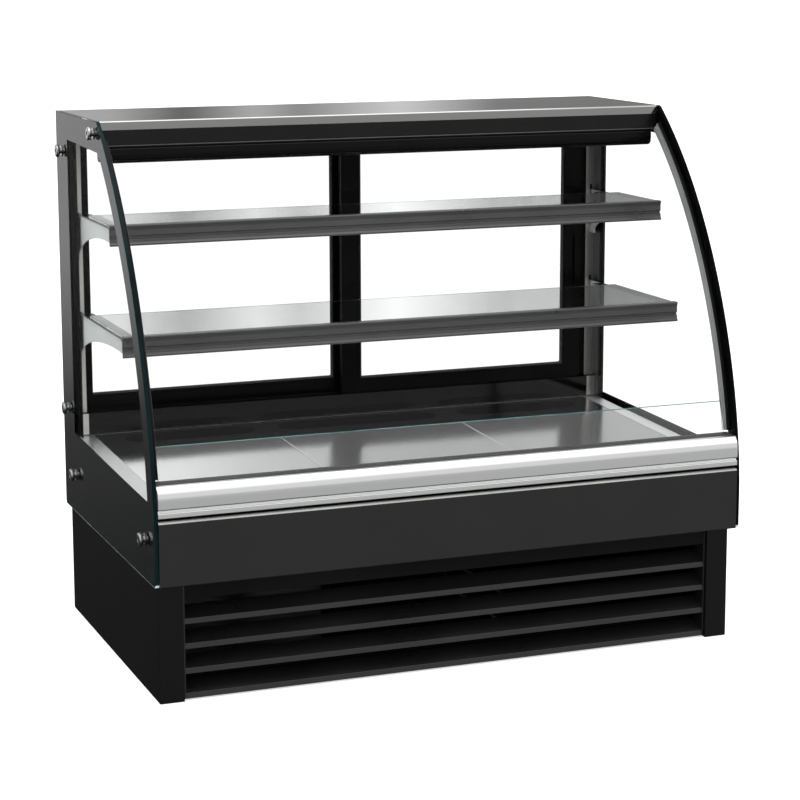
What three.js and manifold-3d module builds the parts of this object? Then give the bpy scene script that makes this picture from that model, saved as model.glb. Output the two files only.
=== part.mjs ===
// An open-fronted refrigerated deli case: a plinth with the refrigeration machinery, an insulated tub with
// lift-out deck trays, two glass shelves between curved side glasses, and sliding doors at the back.
// Millimetres, +Z up. X is the width and the customer stands at -Y. The origin is on the floor, at the
// middle.
import * as THREE from 'three';
import { mergeVertices } from 'three/addons/utils/BufferGeometryUtils.js';
import Module from 'manifold-3d';

const wasm = await Module();
wasm.setup();

// Driving dimensions.
const WIDTH = 1320;
const DEPTH = 780;
const HEIGHT = 1150;
const PLINTH_HEIGHT = 250;
const SIDE_GLASS = 8;
const SHELF_GLASS = 6;
const SHEET = 3;
const GAP = 0.3;

// Planes that many parts share.
const FRONT = -DEPTH / 2;
const REAR = DEPTH / 2;
const GLASS_OUT = WIDTH / 2;
const GLASS_IN = GLASS_OUT - SIDE_GLASS;
const BETWEEN_GLASSES = GLASS_IN - 0.5;
const GLASS_REAR = REAR - 1;
const PLINTH_HALF = 648;
const PLINTH_FRONT = FRONT + 28;
const POST_WIDTH = 51.5;

// The deck falls gently towards the front, so that melt water runs to the drain.
const DECK_AT_CENTRE = 413;
const DECK_SLOPE = 0.031;
const deckZ = (y) => DECK_AT_CENTRE + DECK_SLOPE * y;
const DECK_FRONT = -312;
const DECK_REAR = 302;
const DECK_HALF = 611;
const TRAY_SEAM = 222;

// Shelves: front plane of the price rail, top of the rail, rear edge of the glass.
const RAIL_HEIGHT = 44;
const RAIL_DEPTH = 18;
const RAIL_HALF = 645;
const SHELF_HALF = 640;
const SHELVES = {
  upper: { front: -27, top: 935.5, glassRear: 180 },
  lower: { front: -115.5, top: 713.5, glassRear: 192 },
};
const BRACKET_WEB = { inner: 634, outer: 637 };
const BRACKET_FLANGE = { inner: 616, outer: 642 };
const BRACKET_REAR = 317.5;

// The corner uprights, each with a pair of slots for every shelf bracket to hook into.
const STRIP = { inner: 622, outer: 645.5, front: 318, rear: 321 };
const STRIP_WING_FRONT = 264;
const STRIP_BOTTOM = 472;
const STRIP_FOOT = { bottom: 424.5, front: 301.2, rear: 303.2 };
const STRIP_TOP = 1096;
const SLOT_PITCH = 37;
const SLOT_HEIGHT = 26;
const TAB_HEIGHT = 12;
const HOOK_STEPS = [0, 2];

// Rear doorway and its two sliding doors.
const JAMB_INNER = 606;
const JAMB_OUTER = 645.5;
const SILL = { front: 303.5, rear: 388, bottom: 423, floor: 455, top: 471 };
const HEAD = { bottom: 1096.5, roof: 1112, top: 1128 };
const DOOR_THICKNESS = 18;
const DOOR_BOTTOM = 457;
const DOOR_TOP = 1110;
const DOOR_CLEAR = { bottom: 505, top: 1068 };
const PANE = 5;
const PANE_BITE = 6;

// Top of the case.
const TOP_PLATE_FRONT = 16;
const TOP_PLATE_BOTTOM = 1131;
const FASCIA_BOTTOM = 1099;
const LAMP_BOTTOM = 1060;
const LAMP = { half: 639, front: 17, rear: 90, slotFront: 42, slotRear: 72, slotDepth: 7, rearRadius: 10 };

const colours = {
  blackPaint: { color: 0x2b2b2c, roughness: 0.32, metalness: 0.0 },
  plinthPaint: { color: 0x101011, roughness: 0.4, metalness: 0.0 },
  steel: { color: 0xb9bab6, roughness: 0.28, metalness: 1.0 },
  galvanised: { color: 0x8d9092, roughness: 0.5, metalness: 0.9 },
  aluminium: { color: 0xc4c7c7, roughness: 0.35, metalness: 0.9 },
  clearGlass: { color: 0xdfeeea, roughness: 0.02, metalness: 0.0, transparent: true, opacity: 0.3 },
  rubber: { color: 0x1b1b1b, roughness: 0.8, metalness: 0.0 },
  blackPlastic: { color: 0x141415, roughness: 0.45, metalness: 0.0 },
  greyProfile: { color: 0x585a58, roughness: 0.4, metalness: 0.2 },
  liner: { color: 0xd8dad8, roughness: 0.35, metalness: 0.6 },
  lamp: { color: 0xf6f5ef, roughness: 0.5, metalness: 0.0 },
};

const group = new THREE.Group();

function add(name, geometry, look) {
  const mesh = new THREE.Mesh(geometry, new THREE.MeshStandardMaterial(look));
  mesh.name = name;
  group.add(mesh);
  return mesh;
}

// Shapes. Every helper returns a closed BufferGeometry.

function box(x0, x1, y0, y1, z0, z1) {
  const geometry = new THREE.BoxGeometry(x1 - x0, y1 - y0, z1 - z0);
  return geometry.translate((x0 + x1) / 2, (y0 + y1) / 2, (z0 + z1) / 2);
}

function outline(points) {
  return new THREE.Shape(points.map(([a, b]) => new THREE.Vector2(a, b)));
}

function extrude(shape, depth, curveSegments = 12) {
  return new THREE.ExtrudeGeometry(shape, { depth, bevelEnabled: false, curveSegments });
}

// A (y, z) outline drawn out along X.
function alongX(shape, x0, x1, curveSegments) {
  const turn = new THREE.Matrix4().makeBasis(
    new THREE.Vector3(0, 1, 0), new THREE.Vector3(0, 0, 1), new THREE.Vector3(1, 0, 0));
  return extrude(shape, x1 - x0, curveSegments).applyMatrix4(turn).translate(x0, 0, 0);
}

// An (x, z) outline drawn out along Y.
function alongY(shape, y0, y1, curveSegments) {
  const turn = new THREE.Matrix4().makeBasis(
    new THREE.Vector3(1, 0, 0), new THREE.Vector3(0, 0, 1), new THREE.Vector3(0, -1, 0));
  return extrude(shape, y1 - y0, curveSegments).applyMatrix4(turn).translate(0, y1, 0);
}

// An (x, y) outline drawn up along Z.
function alongZ(shape, z0, z1, curveSegments) {
  return extrude(shape, z1 - z0, curveSegments).translate(0, 0, z0);
}

function cylinderY(x, z, radius, y0, y1, segments = 32) {
  return new THREE.CylinderGeometry(radius, radius, y1 - y0, segments).translate(x, (y0 + y1) / 2, z);
}

function cylinderZ(x, y, radius, z0, z1, segments = 32) {
  return new THREE.CylinderGeometry(radius, radius, z1 - z0, segments)
    .rotateX(Math.PI / 2).translate(x, y, (z0 + z1) / 2);
}

// A round hole for a shape.
function roundHole(a, b, radius) {
  const hole = new THREE.Path();
  hole.absarc(a, b, radius, 0, Math.PI * 2, true);
  return hole;
}

// Booleans.

function solid(geometry) {
  const bare = new THREE.BufferGeometry();
  bare.setAttribute('position', geometry.getAttribute('position').clone());
  if (geometry.index) bare.setIndex(geometry.index.clone());
  const merged = mergeVertices(bare, 1e-4);
  return new wasm.Manifold(new wasm.Mesh({
    numProp: 3,
    vertProperties: new Float32Array(merged.getAttribute('position').array),
    triVerts: new Uint32Array(merged.index.array),
  }));
}

function geometryOf(manifold) {
  const mesh = manifold.getMesh();
  const geometry = new THREE.BufferGeometry();
  geometry.setAttribute('position', new THREE.BufferAttribute(mesh.vertProperties, 3));
  geometry.setIndex(new THREE.BufferAttribute(mesh.triVerts, 1));
  geometry.computeVertexNormals();
  return geometry;
}

function joined(first, ...others) {
  return geometryOf(others.reduce((sum, piece) => sum.add(solid(piece)), solid(first)));
}

function cut(body, ...tools) {
  return geometryOf(tools.reduce((rest, tool) => rest.subtract(solid(tool)), solid(body)));
}

// The same part on the other side of the case.
function mirrored(geometry) {
  const copy = geometry.clone().applyMatrix4(new THREE.Matrix4().makeScale(-1, 1, 1));
  const plain = copy.index ? copy : mergeVertices(copy);
  const index = plain.index.array;
  for (let i = 0; i < index.length; i += 3) {
    [index[i], index[i + 1]] = [index[i + 1], index[i]];
  }
  return plain;
}

function addPair(name, rightGeometry, look) {
  add(`${name}_left`, mirrored(rightGeometry), look);
  add(`${name}_right`, rightGeometry, look);
}

// The curved front edge of the side glass, from the top down, as one Bezier curve in (y, z).
const glassFront = new THREE.CubicBezierCurve(
  new THREE.Vector2(9, HEIGHT - 3),
  new THREE.Vector2(-291, 905),
  new THREE.Vector2(FRONT + 3, 527),
  new THREE.Vector2(FRONT + 3, 330),
);

// Points at a constant distance inside the curved edge, between two stations along it.
function insideEdge(distance, from, to, count) {
  const points = [];
  for (let i = 0; i <= count; i += 1) {
    const t = from + ((to - from) * i) / count;
    const at = glassFront.getPoint(t);
    const tangent = glassFront.getTangent(t);
    points.push([at.x - tangent.y * distance, at.y + tangent.x * distance]);
  }
  return points;
}

// Screws through the side glass: (y, z) of each.
const STUDS = {
  top_front: [40, 1124],
  top_rear: [340, 1064],
  middle_rear: [340, 482],
  bottom_rear: [284, 338],
  bottom_front: [-312, 334],
};
const STUD = { capRadius: 14, neckRadius: 11, shankRadius: 4.5, standOff: 14, holeRadius: 5 };

function sideGlass() {
  const { v0: start, v1, v2, v3: end } = glassFront;
  const shape = new THREE.Shape();
  const corner = 6;
  shape.moveTo(GLASS_REAR, PLINTH_HEIGHT + corner);
  shape.lineTo(GLASS_REAR, HEIGHT - corner / 2);
  shape.lineTo(GLASS_REAR - corner / 2, HEIGHT);
  shape.lineTo(start.x + 9, HEIGHT);
  shape.quadraticCurveTo(start.x + 4, HEIGHT, start.x, start.y);
  shape.bezierCurveTo(v1.x, v1.y, v2.x, v2.y, end.x, end.y);
  shape.lineTo(end.x, PLINTH_HEIGHT + corner);
  shape.quadraticCurveTo(end.x, PLINTH_HEIGHT, end.x + corner, PLINTH_HEIGHT);
  shape.lineTo(GLASS_REAR - corner, PLINTH_HEIGHT);
  shape.quadraticCurveTo(GLASS_REAR, PLINTH_HEIGHT, GLASS_REAR, PLINTH_HEIGHT + corner);
  for (const [y, z] of Object.values(STUDS)) {
    shape.holes.push(roundHole(y, z, STUD.holeRadius));
  }
  return alongX(shape, GLASS_IN, GLASS_OUT, 14);
}

function stud() {
  const { capRadius, neckRadius, shankRadius, standOff } = STUD;
  const inner = -SIDE_GLASS + GAP;
  const chamfer = 2.5;
  const profile = [
    [0, inner], [shankRadius, inner], [shankRadius, GAP], [neckRadius, GAP],
    [neckRadius, 5], [capRadius, 7], [capRadius, standOff - chamfer], [capRadius - chamfer, standOff],
    [0, standOff],
  ];
  return new THREE.LatheGeometry(profile.map(([r, h]) => new THREE.Vector2(r, h)), 20);
}

function addStuds() {
  for (const [side, sign] of [['left', -1], ['right', 1]]) {
    for (const [place, [y, z]] of Object.entries(STUDS)) {
      const mesh = add(`stud_${side}_${place}`, stud(), colours.steel);
      mesh.rotation.z = -sign * Math.PI / 2;
      mesh.position.set(sign * GLASS_OUT, y, z);
    }
  }
}

// A dark strip of extrusion inside the curved edge of each side glass.
const EDGE_PROFILE = { outer: 14, inner: 44, from: 0.03, to: 0.8, steps: 14, depth: 10.7 };

function edgeProfile() {
  const { outer, inner, from, to, steps, depth } = EDGE_PROFILE;
  const front = insideEdge(outer, from, to, steps);
  const back = insideEdge(inner, from, to, steps).reverse();
  const glass = GLASS_IN - GAP;
  return alongX(outline([...front, ...back]), glass - depth, glass);
}

// Plinth: each side panel is one sheet, folded round the front as a post and turned in at the back.
const PLINTH_SIDE = { rear: REAR - 2, rearFlange: 610, postReturn: 30 };

function plinthSide() {
  const { rear, rearFlange, postReturn } = PLINTH_SIDE;
  const postInner = PLINTH_HALF - POST_WIDTH;
  const shape = outline([
    [PLINTH_HALF, rear], [rearFlange, rear], [rearFlange, rear - SHEET],
    [PLINTH_HALF - SHEET, rear - SHEET], [PLINTH_HALF - SHEET, PLINTH_FRONT + SHEET],
    [postInner + SHEET, PLINTH_FRONT + SHEET], [postInner + SHEET, PLINTH_FRONT + postReturn],
    [postInner, PLINTH_FRONT + postReturn], [postInner, PLINTH_FRONT],
    [PLINTH_HALF - 2, PLINTH_FRONT], [PLINTH_HALF, PLINTH_FRONT + 2],
  ]);
  return alongZ(shape, 0, PLINTH_HEIGHT - 1);
}

// A C-shaped steel skid under each side of the machine tray.
const RUNNER = { inner: 560, outer: 604, height: 30, front: -312, rear: 378 };

function baseRunner() {
  const { inner, outer, height, front, rear } = RUNNER;
  const section = outline([
    [inner, 0], [outer, 0], [outer, SHEET], [inner + SHEET, SHEET], [inner + SHEET, height - SHEET],
    [outer, height - SHEET], [outer, height], [inner, height],
  ]);
  return alongY(section, front, rear);
}

// The machine tray is a sheet with a low folded rim.
const MACHINE_TRAY = { half: 642, front: RUNNER.front, rear: 383, rim: 6 };
const TRAY_BOTTOM = RUNNER.height + GAP;
const TRAY_TOP = TRAY_BOTTOM + SHEET;

function chassisTray() {
  const { half, front, rear, rim } = MACHINE_TRAY;
  const outside = box(-half, half, front, rear, TRAY_BOTTOM, TRAY_TOP + rim);
  const inside = box(-half + SHEET, half - SHEET, front + SHEET, rear - SHEET, TRAY_TOP, TRAY_TOP + rim + 1);
  return cut(outside, inside);
}

// Louvred intake grille: a top rail, four blades with an upright front lip, and two end plates.
const LOUVRE = {
  front: -355, half: 592, pitch: 52.3, lowest: 3, lip: 10, blades: 4, depth: 38, rise: 20, skin: 2,
  railBottom: 212, top: 248, railDepth: 26,
};

function louvreBlade(z) {
  const { front, half, lip, depth, rise, skin } = LOUVRE;
  const back = front + depth;
  return alongX(outline([
    [front, z], [front + skin, z], [front + skin, z + lip - 1], [back, z + lip + rise],
    [back, z + lip + rise + skin], [front, z + lip + 1.2],
  ]), -half, half);
}

function louvreGrille() {
  const { front, half, pitch, lowest, blades, depth, skin, railBottom, top, railDepth } = LOUVRE;
  const topRail = alongX(outline([
    [front, railBottom], [front + skin, railBottom], [front + skin, top - skin],
    [front + railDepth, top - skin], [front + railDepth, top], [front, top],
  ]), -half, half);
  const pieces = [
    box(-half - SHEET, -half + 0.5, front, front + depth + 2, lowest, top),
    box(half - 0.5, half + SHEET, front, front + depth + 2, lowest, top),
  ];
  for (let i = 0; i < blades; i += 1) {
    pieces.push(louvreBlade(lowest + i * pitch));
  }
  return joined(topRail, ...pieces);
}

// Painted front skirt, a C-shaped sheet with a rounded upper edge.
const SKIRT = { top: 386, radius: 8, depth: 22 };

function frontSkirt() {
  const { top, radius, depth } = SKIRT;
  const back = FRONT + depth;
  const inner = FRONT + SHEET;
  const shape = new THREE.Shape();
  shape.moveTo(back, PLINTH_HEIGHT);
  shape.lineTo(back, PLINTH_HEIGHT + SHEET);
  shape.lineTo(inner, PLINTH_HEIGHT + SHEET);
  shape.lineTo(inner, top - radius);
  shape.quadraticCurveTo(inner, top - SHEET, FRONT + radius, top - SHEET);
  shape.lineTo(back, top - SHEET);
  shape.lineTo(back, top);
  shape.lineTo(FRONT + radius, top);
  shape.quadraticCurveTo(FRONT, top, FRONT, top - radius);
  shape.lineTo(FRONT, PLINTH_HEIGHT);
  shape.closePath();
  return alongX(shape, -BETWEEN_GLASSES, BETWEEN_GLASSES, 5);
}

// Bright bumper extrusion with a groove near its lower edge.
const BUMPER = { bottom: 391.5, top: 455, grooveTop: 408, grooveBottom: 401, depth: 22 };

function bumperProfile() {
  const { bottom, top, grooveTop, grooveBottom, depth } = BUMPER;
  const back = FRONT + depth;
  const shape = new THREE.Shape();
  shape.moveTo(back, bottom);
  shape.lineTo(back, top);
  shape.lineTo(FRONT + 12, top);
  shape.quadraticCurveTo(FRONT, top - 2, FRONT, top - 21);
  shape.lineTo(FRONT + 1.5, grooveTop);
  shape.lineTo(FRONT + 6, (grooveTop + grooveBottom) / 2);
  shape.lineTo(FRONT + 1, grooveBottom);
  shape.lineTo(FRONT + 1, bottom);
  shape.closePath();
  return alongX(shape, -BETWEEN_GLASSES, BETWEEN_GLASSES, 6);
}

// The low front glass leans back a little, and stands in a rubber channel.
const LOW_GLASS = { bottomY: -357, bottomZ: 432, topY: -331, topZ: 525, thickness: 6, half: 639 };

function lowFrontGlass() {
  const { bottomY, bottomZ, topY, topZ, thickness, half } = LOW_GLASS;
  return alongX(outline([
    [bottomY, bottomZ], [bottomY + thickness, bottomZ], [topY + thickness, topZ], [topY, topZ],
  ]), -half, half);
}

const SEAL = { top: 458, bottom: 424.4, leg: 5.5 };

function glassSeal() {
  const { bottomY, bottomZ, topY, topZ, thickness } = LOW_GLASS;
  const { top, bottom, leg } = SEAL;
  const lean = (topY - bottomY) / (topZ - bottomZ);
  const glassY = (z) => bottomY + (z - bottomZ) * lean;
  const floor = bottomZ - GAP;
  return alongX(outline([
    [bottomY - leg - 4, bottom], [bottomY + thickness + leg, bottom],
    [glassY(top) + thickness + leg, top], [glassY(top) + thickness + GAP, top],
    [glassY(floor) + thickness + GAP, floor], [glassY(floor) - GAP, floor],
    [glassY(top) - GAP, top], [bottomY - leg - 4, top],
  ]), -BETWEEN_GLASSES, BETWEEN_GLASSES);
}

// Foam-filled tub lined with steel. Its rim shows beside the trays as two narrow ledges.
const TUB = {
  half: 646, front: FRONT + 24, rear: 386, bottom: 253.5, rearTop: 422.5, frontTop: 424,
  innerHalf: 600, floor: 294, innerFront: -296, innerRear: 346, mouthRear: 290, underSill: 402,
};
const TRAY_REST = 12;

function insulatedTub() {
  const { half, front, rear, bottom, rearTop, frontTop } = TUB;
  const { innerHalf, floor, innerFront, innerRear, mouthRear, underSill } = TUB;
  const above = 440;
  const sill = SILL.front - 1;
  const frontStep = DECK_FRONT - 1;
  const rearStep = DECK_REAR + 0.5;
  const wall = outline([
    [front, bottom], [rear, bottom], [rear, rearTop], [sill, rearTop], [sill, deckZ(SILL.front)],
    [frontStep, deckZ(DECK_FRONT)], [frontStep, frontTop], [front, frontTop],
  ]);
  const cavity = outline([
    [innerFront, floor], [innerRear, floor], [innerRear, underSill], [mouthRear, underSill],
    [mouthRear, above], [innerFront, above],
  ]);
  const rebate = outline([
    [frontStep, deckZ(DECK_FRONT) - TRAY_REST], [rearStep, deckZ(DECK_REAR) - TRAY_REST],
    [rearStep, above], [frontStep, above],
  ]);
  return cut(
    alongX(wall, -half, half),
    alongX(cavity, -innerHalf, innerHalf),
    alongX(rebate, -DECK_HALF - 0.6, DECK_HALF + 0.6),
  );
}

// Deck trays: a top skin with the edges turned down, and a band of slots at the back for the cold air.
const TRAY = { skin: 2.5, depth: TRAY_REST - 0.4, seam: 0.5 };
const SLOTS = { front: 202, rear: 274, width: 6, pitch: 14, shortest: 8 };

function deckTray(x0, x1, slotsFrom, slotsTo) {
  const { skin, depth } = TRAY;
  const under = deckZ(0) - depth;
  const bottom = (y) => under + DECK_SLOPE * y;
  const section = outline([
    [DECK_FRONT, bottom(DECK_FRONT)], [DECK_FRONT + skin, bottom(DECK_FRONT + skin)],
    [DECK_FRONT + skin, deckZ(DECK_FRONT + skin) - skin],
    [DECK_REAR - skin, deckZ(DECK_REAR - skin) - skin],
    [DECK_REAR - skin, bottom(DECK_REAR - skin)], [DECK_REAR, bottom(DECK_REAR)],
    [DECK_REAR, deckZ(DECK_REAR)], [DECK_FRONT, deckZ(DECK_FRONT)],
  ]);
  const plate = alongX(section, x0, x1);
  const middle = (SLOTS.front + SLOTS.rear) / 2;
  const radius = (SLOTS.rear - SLOTS.front) / 2;
  const count = Math.floor((slotsTo - slotsFrom) / SLOTS.pitch);
  const start = (slotsFrom + slotsTo) / 2 - (count * SLOTS.pitch) / 2;
  const tools = [];
  for (let i = 0; i <= count; i += 1) {
    const x = start + i * SLOTS.pitch;
    const fromEnd = Math.min(x - slotsFrom, slotsTo - x);
    const inRound = Math.max(0, radius - fromEnd);
    const reach = Math.max(SLOTS.shortest, Math.sqrt(radius * radius - inRound * inRound));
    const half = SLOTS.width / 2;
    tools.push(box(x - half, x + half, middle - reach, middle + reach, bottom(0) - 10, deckZ(0) + 20));
  }
  return cut(plate, ...tools);
}

function addDeckTrays() {
  const { seam } = TRAY;
  const sideSlots = [252, 555];
  add('deck_tray_middle', deckTray(-TRAY_SEAM + seam, TRAY_SEAM - seam, -196, 196), colours.steel);
  const right = deckTray(TRAY_SEAM + seam, DECK_HALF, ...sideSlots);
  addPair('deck_tray', right, colours.steel);
}

// Finned heat exchangers: a block with fin gaps cut into its front.
function finnedCoil([x0, x1], [y0, y1], [z0, z1], pitch, gapDepth) {
  const count = Math.floor((x1 - x0) / pitch);
  const step = (x1 - x0) / (count + 0.5);
  const fin = step / 2;
  const points = [];
  for (let i = 0; i < count; i += 1) {
    const x = x0 + i * step;
    points.push([x, y0], [x + fin, y0], [x + fin, y0 + gapDepth], [x + step, y0 + gapDepth]);
  }
  points.push([x1 - fin, y0], [x1, y0], [x1, y1], [x0, y1]);
  return alongZ(outline(points), z0, z1);
}

// An axial fan: a hub and flat blades set at an angle, about the Z axis at the origin.
function fanRotor(radius, height, blades) {
  const hubRadius = radius * 0.32;
  const root = radius * 0.26;
  const length = radius * 0.98 - root;
  const pitchAngle = 0.5;
  const hub = new THREE.CylinderGeometry(hubRadius, hubRadius, height, 24).rotateX(Math.PI / 2);
  const pieces = [];
  for (let i = 0; i < blades; i += 1) {
    const blade = new THREE.BoxGeometry(length, radius * 0.5, 1.6);
    blade.rotateX(pitchAngle).translate(root + length / 2, 0, 0);
    blade.rotateZ((i * 2 * Math.PI) / blades);
    pieces.push(blade);
  }
  return joined(hub, ...pieces);
}

// The condenser, its fan in a shroud plate, and the fan motor on an arm behind.
const CONDENSER = { x: -120, z: 138, half: 125, y: -282, height: 205, depth: 50 };
const CONDENSER_FAN = { radius: 86, mouth: 92, plate: 36, armFrom: 58, armTo: 62, armHalf: 9, reach: 108 };
const CONDENSER_MOTOR = { radius: 34, from: 50, to: 104 };

function condenserShroud() {
  const { x, z, half, y, height, depth } = CONDENSER;
  const { mouth, plate, armFrom, armTo, armHalf, reach } = CONDENSER_FAN;
  const back = y + depth + 1;
  const bottom = TRAY_TOP + GAP;
  const frame = outline([
    [x - half, bottom], [x + half, bottom], [x + half, bottom + height], [x - half, bottom + height],
  ]);
  frame.holes.push(roundHole(x, z, mouth));
  const arm = box(x - reach, x + reach, back + armFrom, back + armTo, z - armHalf, z + armHalf);
  const legs = [-1, 1].map((side) => {
    const at = x + side * (reach - 2);
    return box(at - 2, at + 2, back + plate - 1, back + armTo, z - armHalf, z + armHalf);
  });
  const { radius, from, to } = CONDENSER_MOTOR;
  const motor = cylinderY(x, z, radius, back + from, back + to, 24);
  return joined(alongY(frame, back, back + plate, 20), arm, ...legs, motor);
}

function addCondensingUnit() {
  const { x, z, half, y, height, depth } = CONDENSER;
  const bottom = TRAY_TOP + GAP;
  const coil = finnedCoil([x - half, x + half], [y, y + depth], [bottom, bottom + height], 9, 8);
  add('condenser_coil', coil, colours.blackPaint);
  add('condenser_shroud', condenserShroud(), colours.blackPaint);
  const rotor = add('condenser_fan', fanRotor(CONDENSER_FAN.radius, 26, 5), colours.blackPlastic);
  rotor.rotation.x = Math.PI / 2;
  rotor.position.set(x, y + depth + 21, z);
}

// Hermetic compressor: a domed steel shell welded to a foot plate, with a terminal box on its side.
const COMPRESSOR = { x: 330, y: 60, footHalfX: 92, footHalfY: 70, foot: 12 };

function compressor() {
  const { x, y, footHalfX, footHalfY, foot } = COMPRESSOR;
  const bottom = TRAY_TOP + GAP;
  const shell = [
    [0, 10], [62, 10], [76, 24], [80, 52], [80, 62], [82, 66], [82, 74], [80, 78], [79, 120],
    [66, 152], [38, 168], [0, 172],
  ];
  const dome = new THREE.LatheGeometry(shell.map(([r, h]) => new THREE.Vector2(r, h)), 28);
  dome.rotateX(Math.PI / 2).translate(x, y, bottom);
  const plate = box(x - footHalfX, x + footHalfX, y - footHalfY, y + footHalfY, bottom, bottom + foot);
  const terminal = box(x - 24, x + 24, y + 60, y + 100, bottom + 60, bottom + 116);
  return joined(plate, dome, terminal);
}

// Back of the plinth: a sheet with rows of vents and a cut-out for the controls.
const SERVICE_PANEL = { half: 609, front: 384, rear: 387, bottom: 5, top: 247 };
const VENT = { columns: [-480, -230, 20], length: 180, rows: 7, lowest: 60, pitch: 20, height: 7 };
const CONTROL = { x0: 400, x1: 520, z0: 165, z1: 215, bezel: 6, front: 344 };

function rearServicePanel() {
  const { half, front, rear, bottom, top } = SERVICE_PANEL;
  const { x0, x1, z0, z1, bezel } = CONTROL;
  const vents = [];
  for (const x of VENT.columns) {
    for (let row = 0; row < VENT.rows; row += 1) {
      const z = VENT.lowest + row * VENT.pitch;
      vents.push(box(x, x + VENT.length, front - 5, rear + 5, z, z + VENT.height));
    }
  }
  const window = box(x0 + bezel, x1 - bezel, front - 5, rear + 5, z0 + bezel, z1 - bezel);
  return cut(box(-half, half, front, rear, bottom, top), window, ...vents);
}

// The controller's bezel covers the cut-out. It has a recess for the display and a pocket for the rocker.
const SWITCH = { x: 497, z: 190, halfWidth: 10, halfHeight: 14, pocketDepth: 18 };

function temperatureController() {
  const { x0, x1, z0, z1, bezel, front } = CONTROL;
  const inset = bezel + 0.5;
  const body = box(x0 + inset, x1 - inset, front, SERVICE_PANEL.rear + 1, z0 + inset, z1 - inset);
  const plate = box(x0, x1, SERVICE_PANEL.rear + GAP, REAR, z0, z1);
  const { x, z, halfWidth, halfHeight, pocketDepth } = SWITCH;
  const pocket = box(x - halfWidth - 1, x + halfWidth + 1, REAR - pocketDepth, REAR + 5,
    z - halfHeight - 1.5, z + halfHeight + 1.5);
  const display = box(x0 + 10, x0 + 60, REAR - 1, REAR + 5, z0 + 12, z1 - 12);
  return cut(joined(body, plate), pocket, display);
}

// Rocker: a shallow V seen from the side, turning about X.
function powerSwitch() {
  const { x, z, halfWidth, halfHeight } = SWITCH;
  const face = REAR - 1.5;
  return alongX(outline([
    [face - 9, z - 6], [face, z - halfHeight + 1], [face - 3.5, z], [face - 6, z + halfHeight - 1],
    [face - 10, z + 6],
  ]), x - halfWidth, x + halfWidth);
}

// Inside the tub: the evaporator, and a fan plate that stands in front of it.
const EVAPORATOR = { x: [-470, 470], y: [70, 170], z: [300, 384], pitch: 22, gapDepth: 12 };
const FAN_PLATE = { half: 590, front: -150, rear: 30, z: 352, skin: 2, foot: 4 };
const EVAPORATOR_FAN = { x: 0, y: -70, radius: 72, motorRadius: 26, armDrop: 38 };

function evaporatorFanPlate() {
  const { half, front, rear, z, skin, foot } = FAN_PLATE;
  const { x, y, radius, motorRadius, armDrop } = EVAPORATOR_FAN;
  const shape = outline([[-half, front], [half, front], [half, rear], [-half, rear]]);
  shape.holes.push(roundHole(x, y, radius + 5));
  const plate = alongZ(shape, z, z + skin, 18);
  const feet = [-1, 1].map((side) => {
    const at = side * (half - foot);
    return box(at - 2, at + 2, front, rear, TUB.floor + GAP, z + 1);
  });
  const reach = radius + 12;
  const arm = box(x - reach - 2, x + reach + 2, y - 8, y + 8, z - armDrop, z - armDrop + 4);
  const hangers = [-1, 1].map((side) => {
    const at = x + side * reach;
    return box(at - 2, at + 2, y - 8, y + 8, z - armDrop, z + 1);
  });
  const motor = cylinderZ(x, y, motorRadius, z - 54, z - 20, 20);
  return joined(plate, ...feet, arm, ...hangers, motor);
}

function addEvaporator() {
  const { x, y, z, pitch, gapDepth } = EVAPORATOR;
  add('evaporator_coil', finnedCoil(x, y, z, pitch, gapDepth), colours.aluminium);
  add('evaporator_fan_plate', evaporatorFanPlate(), colours.galvanised);
  const rotor = add('evaporator_fan', fanRotor(EVAPORATOR_FAN.radius, 22, 5), colours.blackPlastic);
  rotor.position.set(EVAPORATOR_FAN.x, EVAPORATOR_FAN.y, FAN_PLATE.z - 2);
}

// Corner upright: the slotted face looks forward, and a wing runs along the side glass. In front of the
// door sill, the wing goes down to the deck with a short cover.
const hookZ = (shelfTop) => shelfTop - 94;

function shelfStrip() {
  const { inner, outer, front, rear } = STRIP;
  const wing = outer - 2;
  const section = outline([
    [inner, front], [wing, front], [wing, STRIP_WING_FRONT], [outer, STRIP_WING_FRONT],
    [outer, rear], [inner, rear],
  ]);
  const from = BRACKET_WEB.inner - 1.2;
  const to = BRACKET_WEB.outer + 1.2;
  const slots = Object.values(SHELVES).flatMap(({ top }) => HOOK_STEPS.map((step) => {
    const z = hookZ(top) + step * SLOT_PITCH;
    return box(from, to, front - 5, rear + 5, z, z + SLOT_HEIGHT);
  }));
  const foot = STRIP_FOOT;
  const cover = box(inner, outer, foot.front, foot.rear, foot.bottom, STRIP_BOTTOM);
  const lowWing = box(wing, outer, STRIP_WING_FRONT, foot.rear, foot.bottom, STRIP_BOTTOM + 1);
  return joined(cut(alongZ(section, STRIP_BOTTOM, STRIP_TOP), ...slots), lowWing, cover);
}

// Shelf bracket: an arched web with a flange that carries the glass and two hooks at the back.
const BRACKET = { noseDepth: 34, noseLength: 26, heelDepth: 104, heelLength: 22, flange: 2.4 };

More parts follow.
